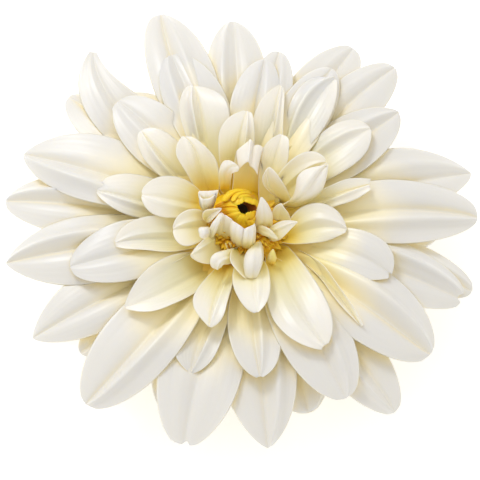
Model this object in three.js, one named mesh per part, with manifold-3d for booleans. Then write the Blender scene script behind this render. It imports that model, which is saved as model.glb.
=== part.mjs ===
// A cream-white dahlia bloom, as picked: ray petals in whorls, a closed yellow centre and a green calyx.
// Millimetres, +Z up. The origin is the middle of the stem's cut face, which the bloom rests on.

import * as THREE from 'three';
import { mergeVertices } from 'three/addons/utils/BufferGeometryUtils.js';
import Module from 'manifold-3d';

const wasm = await Module();
wasm.setup();

// Driving dimensions
const BLADE_THICKNESS = 0.8;      // a petal's flesh along its midrib
const CORE_FOOT = 8.3;            // underside of the receptacle that the petals grow from
const CORE_TOP = 25.0;            // upper face of the receptacle, under the closed centre
const SEAT_GAP = 0.3;             // clearance between the green, white and yellow bodies
const EGG_CENTRE = [-1.7, 1.6, 27.0];  // closed centre, an egg of folded florets
const EGG_RADII = [6.7, 6.7, 7.6];      // its half sizes along the three axes
const HOOD_LIFT = 2.2;            // room over the egg for the florets that stand off it
const FLORET_THICKNESS = 0.9;     // a floret's flesh along its midrib
const SHORTEST_EDGE = 0.01;       // shorter edges of the fused petals are merged
const STUB_RADIUS = 3.4;          // cut stem
const CALYX_TOP = CORE_FOOT - SEAT_GAP;
const ROOT_RADIUS = 8.0;          // distance from the axis at which sketched petals start, inside it
const ROOT_HEIGHTS = [12, 22];    // lowest and highest place where they start
const ROOT_DROP = 2;              // how far below the foot of its sketch a petal starts

// Camera of the photograph, in mm and degrees, through which its pixels are placed in the bloom
const PHOTO_SIZE = 480;
const CAMERA_TARGET = new THREE.Vector3(-0.926, 0, 9.51);
const CAMERA_ELEVATION = THREE.MathUtils.degToRad(67);
const CAMERA_DISTANCE = 900;
const CAMERA_LENS = 212.9;
const CAMERA_SENSOR = 36;

// The outer petals form one family of nested profiles. A level is a place in that family, from the
// lowest petals (0) to the middle of the bloom (4), and a petal may lie between two of them.
//   rootRadius, rootHeight, rootPitch: where the petal leaves the receptacle, and how steeply
//   reach, height, tipPitch: where a typical petal ends, and how steeply
//   crease: depth of the valley along the midrib, as a share of the half width
//   foldRoot, foldTip: how far each half is rolled up, in degrees
//   widest, fall: place of the greatest width along the petal, and how bluntly the tip closes
const LEVELS = [
  { rootRadius: 8.5, rootHeight: 11.4, rootPitch: -12, reach: 53, height: 1.9, tipPitch: -26,
    crease: 0.20, foldRoot: 28, foldTip: 6, widest: 0.62, fall: 0.72 },
  { rootRadius: 9.5, rootHeight: 13.2, rootPitch: 2, reach: 61, height: 9.0, tipPitch: -20,
    crease: 0.20, foldRoot: 28, foldTip: 6, widest: 0.62, fall: 0.72 },
  { rootRadius: 10.0, rootHeight: 15.4, rootPitch: 14, reach: 75, height: 17, tipPitch: -14,
    crease: 0.20, foldRoot: 28, foldTip: 5, widest: 0.60, fall: 0.74 },
  { rootRadius: 9.8, rootHeight: 17.8, rootPitch: 26, reach: 60, height: 23.5, tipPitch: -8,
    crease: 0.20, foldRoot: 30, foldTip: 6, widest: 0.60, fall: 0.70 },
  { rootRadius: 8.8, rootHeight: 20.0, rootPitch: 37, reach: 49, height: 28.5, tipPitch: -2,
    crease: 0.18, foldRoot: 34, foldTip: 10, widest: 0.60, fall: 0.66 },
];

// Petals of that family as [level, azimuth, reach, width, roll, bend]: azimuth of the tip in degrees
// counterclockwise from +X, reach from the axis and width in mm, and roll about the midrib and
// sideways bend of the midrib in degrees.
const OUTER_WHORL = [
  [2.55, 2.5, 74, 22, 0, 5], [2.1, 15.2, 75, 23, 0, 5], [2.3, 49, 75, 19, 0, 5],
  [1.9, 61, 74, 20, 0, 6], [2.0, 92.5, 74, 20, 0, 0], [2.4, 109, 81, 21, 0, 5],
  [1.75, 139.5, 74, 20, 0, 0], [2.5, 160, 74, 24, 4, -5],
  [2.1, 172, 76.5, 21, 0, 0], [2.35, 189, 75, 23, 0, 4], [1.95, 209, 74.5, 21, 0, 0],
  [1.65, 219, 65, 16, 0, 0], [2.5, 231, 76, 26, 0, 3], [2.15, 256, 74.5, 26, 0, -3],
  [1.8, 276, 72, 23, 0, 0], [1.8, 308, 76, 20, 0, 0], [2.6, 323.5, 72, 25, 0, 3],
  [2.25, 340.5, 73, 20, 0, 3], [1.8, 344.5, 74.5, 18, 0, 3],
];
const WIDE_WHORL = [
  [2.75, 79, 61.5, 15, 0, 0], [2.8, 38, 63, 20, 0, 0], [2.85, 298.5, 66, 22, 0, 3],
  [2.95, 62, 61, 17, 0, 0], [3.1, 83, 57, 16, 0, 5], [3.2, 111, 63.5, 20, 0, -3],
  [3.4, 133.5, 57.5, 20, 0, 0], [3.1, 196, 56, 20, 0, 2],
];

// Petals that have a form of their own, each spanned by its left margin, midrib and right margin. A
// curve has four points from the root to the tip, as pixel column and row in the photograph and
// height in mm.
const WIDE_PETALS = [
  {
    name: 'top left, bent',
    left: [[192, 196, 15.5], [94, 152, 20], [56, 90, 20.5], [91, 50.5, 18]],
    midrib: [[198, 190, 14.5], [142, 142, 19], [92, 92, 19], [93.5, 50.5, 18]],
    right: [[204, 184, 15.5], [176, 100, 22], [112, 92, 21.5], [96, 50.5, 18]],
  },
  {
    name: 'right, low',
    left: [[286, 240, 19], [330, 214, 29], [412, 228, 31], [391, 277, 26]],
    midrib: [[286, 244, 18], [318, 246, 24], [356, 246, 29], [391, 275, 26]],
    right: [[284, 247, 18], [312, 256, 24], [344, 292, 28], [391, 278, 26]],
  },
  {
    name: 'bottom',
    left: [[240, 264, 17], [222, 310, 26], [220, 366, 28], [259, 378, 24]],
    midrib: [[250, 264, 15], [250, 310, 22], [256, 350, 25], [260, 378, 24]],
    right: [[262, 264, 17], [276, 306, 26], [296, 366, 28], [262, 378, 24]],
  },
  {
    name: 'bottom, left',
    left: [[220, 266, 15], [180, 292, 24], [152, 350, 27], [190, 374, 22]],
    midrib: [[228, 268, 14], [216, 306, 20], [196, 346, 24], [190, 374, 22]],
    right: [[236, 268, 15], [236, 310, 24], [226, 362, 27], [192, 374, 22]],
  },
];
const MIDDLE_PETALS = [
  {
    name: 'top, left',
    left: [[204, 190, 20], [186, 135, 30], [166, 88, 31], [192, 85.5, 28]],
    midrib: [[214, 190, 18], [204, 140, 24], [200, 110, 28], [194, 85.5, 28]],
    right: [[220, 190, 20], [224, 140, 29], [254, 92, 32], [196, 85.5, 28]],
  },
  {
    name: 'top, right',
    left: [[254, 190, 19], [258, 140, 29], [240, 104, 32], [280, 84, 28]],
    midrib: [[264, 190, 17], [268, 150, 24], [272, 116, 28], [281, 84, 28]],
    right: [[272, 190, 19], [280, 150, 28], [289, 110, 30], [283, 86, 28]],
  },
  {
    name: 'upper right, far',
    left: [[266, 190, 17], [290, 130, 26], [280, 68, 29], [335, 77, 24]],
    midrib: [[272, 190, 16], [296, 140, 22], [310, 100, 25], [336, 78, 24]],
    right: [[276, 192, 17], [304, 146, 28], [342, 124, 30], [337, 80, 25]],
  },
  {
    name: 'upper right, near',
    left: [[276, 194, 19], [306, 128, 29], [354, 106, 31], [371, 128, 28]],
    midrib: [[280, 196, 17], [316, 160, 24], [350, 140, 27], [371, 128.5, 28]],
    right: [[286, 196, 18], [330, 184, 27], [377, 162, 30], [371, 129, 28]],
  },
  {
    name: 'right, two-toothed',
    left: [[284, 208, 20], [330, 196, 29], [326, 170, 31], [373, 180.5, 29]],
    midrib: [[286, 212, 18], [312, 204, 24], [340, 192, 28], [371, 184.5, 28]],
    right: [[290, 218, 19], [330, 214, 25], [352, 202, 29], [372, 190, 29]],
  },
  {
    name: 'lower right, on edge',
    left: [[288, 246, 19], [330, 258, 28], [344, 286, 31], [363, 328, 27]],
    midrib: [[286, 248, 17], [318, 266, 22], [340, 294, 27], [362, 328, 26]],
    right: [[285, 250, 17], [312, 266, 24], [334, 298, 30], [361, 328, 26]],
  },
  {
    name: 'lower right, broad',
    left: [[266, 250, 21], [262, 290, 28], [266, 348, 31], [324, 350, 28]],
    midrib: [[274, 250, 19], [282, 284, 24], [298, 320, 28], [326, 347, 28]],
    right: [[288, 246, 21], [304, 262, 28], [348, 314, 33], [328, 345, 28]],
  },
  {
    name: 'lower left, round',
    left: [[222, 262, 20], [204, 280, 29], [174, 300, 32], [209, 328, 29]],
    midrib: [[230, 262, 18], [222, 282, 25], [210, 306, 29], [209, 328, 29]],
    right: [[236, 262, 20], [234, 286, 29], [232, 318, 32], [210, 328, 29]],
  },
  {
    name: 'lower left, long',
    left: [[216, 268, 19], [196, 306, 28], [160, 316, 31], [124, 309, 26]],
    midrib: [[214, 262, 17], [190, 280, 23], [156, 298, 27], [124, 308, 26]],
    right: [[210, 256, 19], [180, 242, 28], [134, 264, 30], [124, 307, 26]],
  },
  {
    name: 'left, low',
    left: [[212, 244, 20], [180, 252, 27], [140, 256, 30], [114, 245, 28]],
    midrib: [[212, 236, 18], [184, 244, 24], [146, 234, 27], [114, 244, 28]],
    right: [[212, 228, 20], [176, 206, 29], [122, 210, 32], [114, 243, 28]],
  },
  {
    name: 'left, far',
    left: [[196, 222, 17], [150, 222, 25], [104, 214, 28], [96, 192, 26]],
    midrib: [[196, 212, 16], [150, 206, 23], [120, 194, 26], [96, 191, 26]],
    right: [[196, 200, 17], [156, 170, 27], [104, 164, 29], [96, 190, 26]],
  },
];
const UPPER_PETALS = [
  {
    name: 'upper left, far',
    left: [[196, 204, 20], [158, 178, 28], [126, 146, 32], [140, 131, 30]],
    midrib: [[202, 198, 18], [176, 176, 25], [154, 150, 29], [141, 130, 30]],
    right: [[206, 190, 20], [190, 146, 29], [164, 120, 32], [142, 129.5, 30]],
  },
  {
    name: 'upper left, near',
    left: [[200, 196, 22], [184, 168, 33], [166, 148, 35], [183, 136, 32]],
    midrib: [[211, 194, 20], [196, 172, 26], [202, 150, 31], [184, 136, 32]],
    right: [[219, 192, 22], [222, 168, 31], [214, 140, 34], [186, 136, 32]],
  },
  {
    name: 'left',
    left: [[208, 214, 22], [184, 222, 28], [144, 222, 33], [141, 197, 31]],
    midrib: [[208, 206, 20], [184, 204, 27], [162, 196, 31], [141, 195, 31]],
    right: [[206, 200, 22], [192, 170, 32], [148, 168, 34], [141, 193, 31]],
  },
  {
    name: 'top',
    left: [[226, 190, 21], [214, 150, 30], [212, 116, 34], [245, 110.5, 31]],
    midrib: [[237, 186, 19], [236, 150, 26], [240, 130, 31], [247, 110.5, 31]],
    right: [[250, 188, 20], [252, 150, 28], [260, 112, 34], [249, 111.5, 31]],
  },
  {
    name: 'upper right, small',
    left: [[259, 202, 25], [256, 164, 29], [262, 138, 34], [280, 134, 32]],
    midrib: [[268, 206, 24], [270, 166, 26], [278, 150, 31], [282, 134, 32]],
    right: [[279, 204, 24], [281, 166, 29], [299, 140, 34], [284, 135, 32]],
  },
  {
    name: 'right, upper half',
    left: [[268, 204, 23], [276, 150, 33], [320, 142, 34], [327, 161, 32]],
    midrib: [[276, 204, 21], [290, 190, 25], [308, 170, 28], [327.5, 162, 32]],
    right: [[284, 206, 22], [312, 207, 27], [328, 186, 31], [328, 163, 32]],
  },
  {
    name: 'right, turned-up half',
    left: [[286, 203, 27], [306, 190, 33], [278, 172, 36], [325, 166, 34]],
    midrib: [[286, 204, 25], [306, 198, 34], [312, 180, 37], [327, 164, 33]],
    right: [[286, 208, 21], [312, 209, 27], [328, 188, 31], [328, 163, 32]],
  },
  {
    name: 'right, lower',
    left: [[284, 236, 23], [290, 194, 31], [338, 192, 33], [347, 228, 29]],
    midrib: [[284, 239, 21], [304, 230, 26], [326, 222, 30], [347.5, 230, 29]],
    right: [[280, 242, 22], [308, 250, 26], [332, 240, 29], [346, 233, 29]],
  },
  {
    name: 'bottom',
    left: [[242, 255, 23.5], [224, 272, 31], [234, 308, 33], [256, 313, 31]],
    midrib: [[250, 256, 21], [250, 274, 28], [254, 296, 31], [257, 313, 31]],
    right: [[262, 258, 23], [276, 272, 31], [270, 308, 33], [258, 313, 31]],
  },
  {
    name: 'top hood',
    left: [[232, 192, 24], [235, 152, 31], [233, 132, 36], [239, 172, 34]],
    midrib: [[247, 194, 23], [250, 140, 31], [252, 120, 38.5], [248, 164, 37]],
    right: [[262, 192, 24], [264, 158, 30], [266, 122, 37], [259, 178, 33]],
  },
  {
    name: 'top nodding cap',
    left: [[220, 189, 24], [219, 176, 31], [216, 158, 36], [231, 160, 37]],
    midrib: [[224, 189, 23], [226, 178, 31], [224, 164, 36], [239, 166, 36.5]],
    right: [[230, 188, 24], [232, 180, 31], [227, 173, 34], [238.5, 171.5, 35.5]],
  },
];
const SMALL_PETALS = [
  {
    name: 'front guard, right lobe',
    left: [[240, 248, 24], [236, 242, 30], [242, 226, 34], [253.8, 223.5, 36]],
    midrib: [[246, 250, 23], [246, 244, 30], [250, 231, 35], [253.8, 223.5, 36]],
    right: [[252, 250, 23], [257, 246, 26], [256, 232, 32], [253.8, 223.5, 36]],
  },
  {
    name: 'front guard, left lobe',
    left: [[234, 246, 23], [226, 240, 27], [228, 228, 32], [231, 219.5, 35]],
    midrib: [[238, 248, 23], [232, 241, 29], [239, 230, 35], [231, 219.5, 35]],
    right: [[241, 248, 24], [236, 242, 31], [254, 230, 38], [231, 219.5, 35.5]],
  },
  {
    name: 'left guard',
    left: [[214, 236, 26], [210, 232, 29], [217, 221, 32], [223.3, 213.5, 34]],
    midrib: [[221, 238, 24], [222, 230, 28], [225, 222, 32], [223.6, 213.5, 34]],
    right: [[230, 238, 25], [231, 230, 30], [238, 216, 34], [224, 213.5, 34]],
  },
  {
    name: 'right guard',
    left: [[254, 231, 25], [252, 224, 29], [257, 212, 34], [260.5, 196.5, 37]],
    midrib: [[262, 232, 23], [263, 224, 30], [265, 210, 35.5], [261, 196.5, 37]],
    right: [[271, 230, 24], [274, 224, 28], [274, 206, 34], [261.5, 196.5, 37]],
  },
  {
    name: 'right guard\'s foot',
    left: [[255, 226, 26], [262, 224, 31], [270, 226, 32], [278, 238, 29]],
    midrib: [[255, 228.5, 26], [262, 229, 30], [270, 232, 31], [278, 239, 29]],
    right: [[255, 231, 25], [262, 235, 28], [268, 238, 29], [278, 239.5, 29]],
  },
  {
    name: 'right leaf',
    left: [[264, 233, 25], [272, 224, 31], [284, 217, 34], [298, 221.5, 33]],
    midrib: [[266, 237, 24], [274, 234, 29], [286, 226, 32], [298, 221.5, 33]],
    right: [[268, 240, 24], [280, 246, 28], [288, 231, 32], [298, 221.5, 33]],
  },
  {
    name: 'right bract',
    left: [[272, 224, 24], [270, 215, 28], [272, 206, 31], [281, 203, 33]],
    midrib: [[280, 226, 23], [278, 217, 27], [281, 210, 30], [281, 203, 33]],
    right: [[291, 224, 24], [292, 218, 28], [286, 209, 32], [281, 203, 33]],
  },
  {
    name: 'upper right leaf',
    left: [[278, 197, 25], [262, 190, 29], [258, 176, 34], [268.3, 167, 35]],
    midrib: [[283, 198, 23], [271, 190, 27], [266, 178, 31], [268.5, 167, 35]],
    right: [[290, 200, 24], [286, 190, 30], [281, 173, 35], [268.7, 167, 35]],
  },
  {
    name: 'funnel, far side',
    left: [[203, 212, 25], [198, 204, 31], [199, 197, 35], [199, 190.5, 36]],
    midrib: [[207, 212, 25], [206, 206, 32], [207, 200, 35.3], [208, 190.5, 36]],
    right: [[212, 211, 25], [216, 204, 32], [216, 197, 35.5], [219, 189.5, 36.5]],
  },
  {
    name: 'funnel, near side',
    left: [[203, 212, 26], [200, 208, 29], [198, 197, 33], [199, 191, 35]],
    midrib: [[207, 212, 26], [206, 209, 30], [204, 202, 35], [206, 198.5, 36]],
    right: [[211, 211, 26], [216, 208, 29], [214, 199, 34], [219, 190, 36]],
  },
  {
    name: 'spoon',
    left: [[204, 220, 29], [198, 210, 33], [210, 207, 35], [222, 208.5, 35]],
    midrib: [[205, 221, 28], [207, 216, 29], [212, 213, 32], [222, 208.5, 35]],
    right: [[206, 222, 28], [212, 225, 31], [214, 217, 34], [222, 208.5, 35]],
  },
  {
    name: 'round left petal',
    left: [[212, 220, 23], [204, 203, 32], [174, 205, 34], [172.5, 229, 30]],
    midrib: [[214, 225, 22], [202, 226, 26], [186, 228, 30], [172.5, 230, 30]],
    right: [[214, 230, 23], [202, 246, 30], [176, 256, 32], [172.5, 231, 30]],
  },
  {
    name: 'left blob',
    left: [[213, 229, 28], [208, 225, 34], [196, 225, 35], [199, 233, 33]],
    midrib: [[213, 231, 27], [208, 231, 35], [203, 231, 38], [199.5, 234, 33]],
    right: [[211, 233, 27], [208, 239, 31], [201, 242, 34], [200, 235, 33]],
  },
  {
    name: 'left rolled margin',
    left: [[207, 236, 28], [208, 230, 33], [213, 222, 35], [219.5, 213, 35]],
    midrib: [[210, 238, 27], [212, 231, 33], [217, 223, 36], [221, 213, 35]],
    right: [[213, 238, 27], [215, 233, 32], [220, 225, 34], [222.5, 214, 35]],
  },
  {
    name: 'left wing',
    left: [[212, 231, 26], [206, 236, 31], [196, 244, 31], [190, 255.5, 29]],
    midrib: [[218, 243, 22], [211, 247, 27], [202, 251, 30], [190, 255.7, 29]],
    right: [[221, 252, 22], [214, 266, 26], [200, 267, 28], [190, 256, 29]],
  },
  {
    name: 'knob',
    left: [[238, 247, 25], [228, 250, 31], [206, 250, 35], [210.5, 266, 31]],
    midrib: [[239, 252, 23], [228, 258, 31], [214, 253, 36], [215, 269.5, 30]],
    right: [[240, 258, 23], [232, 268, 27], [222, 262, 33], [221.5, 267, 30]],
  },
  {
    name: 'front lip',
    left: [[234, 248, 25], [226, 254, 32], [230, 268, 32], [246, 279, 28]],
    midrib: [[241, 249, 21], [240, 256, 23], [240, 268, 27], [250, 279.5, 28]],
    right: [[250, 250, 22], [254, 258, 24], [256, 272, 27], [254, 279, 28]],
  },
  {
    name: 'front hood',
    left: [[254, 245, 27], [246, 250, 32], [240, 262, 33], [246, 277, 29]],
    midrib: [[256, 242, 26], [258, 250, 35], [254, 266, 35], [252, 279, 28]],
    right: [[257, 239, 25], [268, 244, 29], [262, 266, 30], [257, 278, 27]],
  },
];
const YELLOW_PETALS = [
  {
    name: 'yellow petal',
    left: [[270, 263, 22], [264, 261, 24], [269, 253, 27], [273, 249, 28]],
    midrib: [[272, 264, 22], [271, 260, 26], [273, 254, 28], [273, 249, 28]],
    right: [[274, 263, 22], [278, 261, 24], [276, 253, 27], [273, 249, 28]],
  },
];

// The petals under the bloom that the outer ones hide, placed by a rule
const HIDDEN_WHORLS = [
  { level: 1.25, count: 9, phase: 7, reach: 63, width: 22 },
  { level: 0.65, count: 8, phase: 22, reach: 59, width: 22 },
  { level: 0.1, count: 7, phase: 2, reach: 52, width: 20 },
];

// Small repeatable helpers
const radians = THREE.MathUtils.degToRad;
const UP = new THREE.Vector3(0, 0, 1);

function hash(index, channel) {
  const wave = Math.sin(index * 127.1 + channel * 311.7) * 43758.5453;
  return wave - Math.floor(wave);
}

function outward(azimuth) {
  return new THREE.Vector3(Math.cos(azimuth), Math.sin(azimuth), 0);
}

function direction(azimuth, pitch) {
  return outward(azimuth).multiplyScalar(Math.cos(pitch)).addScaledVector(UP, Math.sin(pitch));
}

function levelAt(level) {
  const below = Math.min(Math.floor(level), LEVELS.length - 2);
  const blend = level - below;
  const shape = {};
  for (const key of Object.keys(LEVELS[0])) {
    shape[key] = THREE.MathUtils.lerp(LEVELS[below][key], LEVELS[below + 1][key], blend);
  }
  return shape;
}

// A blade is a curved lens-shaped sheet along a spine, used for petals, florets and bracts.
const CLAW = 0.24;                // width of the root as a share of the greatest width

// Facets of each kind of sheet across and along it. A sketched sheet also has a crease, as a share of
// its half width, and may be rooted in the receptacle.
const OUTER_PETAL = { strips: 4, rows: 5 };
const HIDDEN_PETAL = { strips: 2, rows: 3 };
const BRACT = { strips: 4, rows: 5 };
const LARGE_PETAL = { strips: 4, rows: 4, crease: 0.18, rooted: true, thickness: BLADE_THICKNESS };
const SMALL_PETAL = { strips: 4, rows: 3, crease: 0.1, rooted: true, thickness: BLADE_THICKNESS };
const FLORET = { strips: 4, rows: 5, crease: 0.05, rooted: false, thickness: FLORET_THICKNESS };

function halfWidthShare(along, shape) {
  if (along < shape.widest) {
    const rise = Math.sin((along / shape.widest) * Math.PI / 2) ** 1.2;
    return CLAW + (1 - CLAW) * rise;
  }
  const rest = (along - shape.widest) / (1 - shape.widest);
  return (1 - rest ** 2) ** shape.fall;
}

function bladeFrame(curve, along, sideHint, roll) {
  const tangent = curve.getTangent(along);
  const side = sideHint.clone().addScaledVector(tangent, -sideHint.dot(tangent)).normalize();
  const turn = radians(roll) * (0.25 + 0.75 * along);
  side.applyAxisAngle(tangent, turn);
  return { origin: curve.getPoint(along), side, normal: tangent.clone().cross(side) };
}

function bladePoint(frame, along, across, halfWidth, shape) {
  const fade = (1 - along) ** 3;
  const fold = radians(shape.foldTip + (shape.foldRoot - shape.foldTip) * fade);
  const sideways = halfWidth * Math.sin(fold * across) / fold;
  const rolled = halfWidth * (1 - Math.cos(fold * across)) / fold;
  const arm = Math.abs(across);
  const opening = Math.sin(Math.min(1, along * 1.25) * Math.PI / 2);
  const valley = 1.6 * halfWidth * shape.crease * opening * (arm - 0.75 * arm ** 2);
  return frame.origin.clone()
    .addScaledVector(frame.side, sideways)
    .addScaledVector(frame.normal, rolled + valley);
}

function bladeSolid(curve, sideHint, width, roll, shape, { strips, rows }) {
  const grid = [];
  for (let i = 0; i < rows; i += 1) {
    const along = 1 - (1 - i / rows) ** 1.5;
    const halfWidth = (width / 2) * halfWidthShare(along, shape);
    const frame = bladeFrame(curve, along, sideHint, roll);
    grid.push(acrossStrips(strips, (across) => (
      { point: bladePoint(frame, along, across, halfWidth, shape), normal: frame.normal }
    )));
  }
  return sheetSolid(grid, curve.getPoint(1), BLADE_THICKNESS);
}

function acrossStrips(strips, placeAt) {
  const row = [];
  for (let j = 0; j <= strips; j += 1) row.push(placeAt((2 * j) / strips - 1));
  return row;
}

// A solid sheet from rows of points and normals that close in a tip. The upper and lower faces share
// the rim and are split into triangles alike.
function sheetSolid(grid, tipPoint, thickness) {
  const strips = grid[0].length - 1;
  const positions = [];
  const upper = [];
  const lower = [];
  for (const row of grid) {
    const above = [];
    const below = [];
    for (let j = 0; j <= strips; j += 1) {
      const { point, normal } = row[j];
      const onRim = j === 0 || j === strips;
      const offset = onRim ? 0 : thickness / 2;
      above.push(positions.length);
      positions.push(point.clone().addScaledVector(normal, offset));
      below.push(onRim ? above[j] : positions.length);
      if (!onRim) positions.push(point.clone().addScaledVector(normal, -offset));
    }
    upper.push(above);
    lower.push(below);
  }
  const tip = positions.length;
  positions.push(tipPoint);
  return solidFromFaces(positions, sheetFaces(upper, lower, tip));
}

// Triangles of a sheet from the numbers of its upper and lower points by rows, and of its tip
function sheetFaces(upper, lower, tip) {
  const faces = [];
  const last = upper.length - 1;
  const strips = upper[0].length - 1;
  for (let j = 0; j < strips; j += 1) {
    for (let i = 0; i < last; i += 1) {
      const [a, b, c, d] = [upper[i][j], upper[i + 1][j], upper[i + 1][j + 1], upper[i][j + 1]];
      faces.push([a, b, c], [a, c, d]);
      const [e, f, g, h] = [lower[i][j], lower[i + 1][j], lower[i + 1][j + 1], lower[i][j + 1]];
      faces.push([e, g, f], [e, h, g]);
    }
    faces.push([upper[last][j], tip, upper[last][j + 1]]);
    faces.push([lower[last][j], lower[last][j + 1], tip]);
  }
  const root = [...upper[0], ...lower[0].slice(1, -1).reverse()];
  for (let k = 1; k < root.length - 1; k += 1) {
    faces.push([root[0], root[k], root[k + 1]]);
  }
  return faces;
}

// A sketch is placed by the camera. This is where the camera stands, and the way it looks through a
// pixel of the photograph.
function seenRay(column, line) {
  const back = new THREE.Vector3(0, -Math.cos(CAMERA_ELEVATION), Math.sin(CAMERA_ELEVATION));
  const up = new THREE.Vector3(0, Math.sin(CAMERA_ELEVATION), Math.cos(CAMERA_ELEVATION));
  const slope = CAMERA_SENSOR / CAMERA_LENS / PHOTO_SIZE;
  const stand = CAMERA_TARGET.clone().addScaledVector(back, CAMERA_DISTANCE);
  const way = new THREE.Vector3((column - PHOTO_SIZE / 2) * slope, 0, 0)
    .addScaledVector(up, (PHOTO_SIZE / 2 - line) * slope)
    .sub(back);
  return { stand, way };
}

// The point at a height that the camera sees at a pixel
function seenAt([column, line, height]) {
  const { stand, way } = seenRay(column, line);
  return stand.addScaledVector(way, (height - stand.z) / way.z);
}

// The point seen at a pixel on the egg of the centre, grown by a lift
function seenOnEgg([column, line, lift]) {
  const { stand, way } = seenRay(column, line);
  const radii = new THREE.Vector3(...EGG_RADII).addScalar(lift);
  const start = stand.clone().sub(new THREE.Vector3(...EGG_CENTRE)).divide(radii);
  const step = way.clone().divide(radii);
  const [a, b, c] = [step.dot(step), step.dot(start), start.dot(start) - 1];
  return stand.addScaledVector(way, (-b - Math.sqrt(Math.max(0, b * b - a * c))) / a);
}

// A point of a sketch, between the three curves that span it
function sketchPoint([left, midrib, right], along, across) {
  return left.getPoint(along).multiplyScalar((across * (across - 1)) / 2)
    .addScaledVector(midrib.getPoint(along), 1 - across ** 2)
    .addScaledVector(right.getPoint(along), (across * (across + 1)) / 2);
}

// The margins and the midrib, in the order in which the sheet lies face up
function sketchCurves(sketch, seen) {
  const curves = [sketch.left, sketch.midrib, sketch.right].map((points) => (
    new THREE.CubicBezierCurve3(...points.map(seen))
  ));
  const forward = curves[1].getPoint(1).sub(curves[1].getPoint(0));
  const sideways = curves[2].getPoint(0.5).sub(curves[0].getPoint(0.5));
  return forward.cross(sideways).z < 0 ? curves.reverse() : curves;
}

function sketchRow(curves, along, strips, crease) {
  const step = 0.01;
  const halfWidth = curves[0].getPoint(along).distanceTo(curves[2].getPoint(along)) / 2;
  const opening = Math.sin(Math.min(1, along * 1.25) * Math.PI / 2);
  return acrossStrips(strips, (across) => {
    const point = sketchPoint(curves, along, across);
    const forward = sketchPoint(curves, along + step, across).sub(point);
    const normal = forward.cross(sketchPoint(curves, along, across + step).sub(point)).normalize();
    const arm = Math.abs(across);
    const valley = 1.6 * halfWidth * crease * opening * (arm - 0.75 * arm ** 2);
    return { point: point.addScaledVector(normal, valley), normal };
  });
}

function sketchSolid(sketch, seen, { strips, rows, crease, rooted, thickness }) {
  const curves = sketchCurves(sketch, seen);
  const grid = rooted ? [rootRow(curves, strips)] : [];
  for (let i = 0; i < rows; i += 1) {
    grid.push(sketchRow(curves, 1 - (1 - i / rows) ** 1.4, strips, crease));
  }
  return sheetSolid(grid, curves[1].getPoint(1), thickness);
}

// The end of a sketched petal in the receptacle, straight inward of where its sketch starts
function rootRow(curves, strips) {
  return sketchRow(curves, 0, strips, 0).map(({ point, normal }) => {
    const inward = Math.min(1, ROOT_RADIUS / Math.hypot(point.x, point.y));
    const height = THREE.MathUtils.clamp(point.z - ROOT_DROP, ...ROOT_HEIGHTS);
    return { point: new THREE.Vector3(point.x * inward, point.y * inward, height), normal };
  });
}

function solidFromFaces(positions, faces) {
  const vertProperties = new Float32Array(positions.flatMap((p) => [p.x, p.y, p.z]));
  const triVerts = new Uint32Array(faces.flat());
  return new wasm.Manifold(new wasm.Mesh({ numProp: 3, vertProperties, triVerts }));
}

function solidFromGeometry(geometry) {
  geometry.deleteAttribute('normal');
  geometry.deleteAttribute('uv');
  const merged = mergeVertices(geometry);
  return new wasm.Manifold(new wasm.Mesh({
    numProp: 3,
    vertProperties: new Float32Array(merged.attributes.position.array),
    triVerts: new Uint32Array(merged.index.array),
  }));
}

// A turned body round the Z axis, from a profile of [radius, height] that starts and ends on it
function turned(profile, sides, centre = [0, 0]) {
  const points = profile.map(([radius, height]) => new THREE.Vector2(radius, height));
  const geometry = new THREE.LatheGeometry(points, sides);
  geometry.rotateX(Math.PI / 2);
  geometry.translate(centre[0], centre[1], 0);
  return solidFromGeometry(geometry);
}

// The outer skin of the largest body, without sealed hollows and loose scraps
function largestBody(solid) {
  const bodies = solid.decompose();
  return bodies.reduce((best, body) => (body.volume() > best.volume() ? body : best));
}

function fuse(solids) {
  return largestBody(solids.reduce((whole, solid) => whole.add(solid)));
}

function meshOf(name, solid, finish) {
  const { vertProperties, triVerts } = solid.getMesh();
  const geometry = new THREE.BufferGeometry();
  geometry.setAttribute('position', new THREE.BufferAttribute(new Float32Array(vertProperties), 3));
  geometry.setIndex(new THREE.BufferAttribute(new Uint32Array(triVerts), 1));
  geometry.computeVertexNormals();
  const mesh = new THREE.Mesh(geometry, new THREE.MeshStandardMaterial(finish));
  mesh.name = name;
  return mesh;
}

// Petals
function petalSolid([level, azimuthDegrees, reach, width, roll, bendDegrees], facets) {
  const shape = levelAt(level);
  const azimuth = radians(azimuthDegrees);
  const bend = radians(bendDegrees);
  const rootPitch = radians(shape.rootPitch);
  const tipPitch = radians(shape.tipPitch);
  const slope = THREE.MathUtils.clamp(Math.tan(tipPitch), -0.6, 0.6);
  const tipHeight = shape.height + slope * (reach - shape.reach);
  const root = outward(azimuth).multiplyScalar(shape.rootRadius).setZ(shape.rootHeight);
  const tip = outward(azimuth).multiplyScalar(reach).setZ(tipHeight);
  const span = root.distanceTo(tip);
  const curve = new THREE.CubicBezierCurve3(
    root,
    root.clone().addScaledVector(direction(azimuth + bend, rootPitch), 0.36 * span),
    tip.clone().addScaledVector(direction(azimuth - bend, tipPitch), -0.34 * span),
    tip,
  );
  return bladeSolid(curve, outward(azimuth + Math.PI / 2), width, roll, shape, facets);
}

function hiddenRows({ level, count, phase, reach, width }, channel) {
  const rows = [];
  for (let i = 0; i < count; i += 1) {
    const drift = (k) => hash(i, channel + k) - 0.5;
    rows.push([
      level + 0.1 * drift(1),
      phase + (360 / count) * i + 8 * drift(2),
      reach + 3 * drift(3),
      width,
      0,
      6 * drift(4),
    ]);
  }
  return rows;
}

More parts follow.
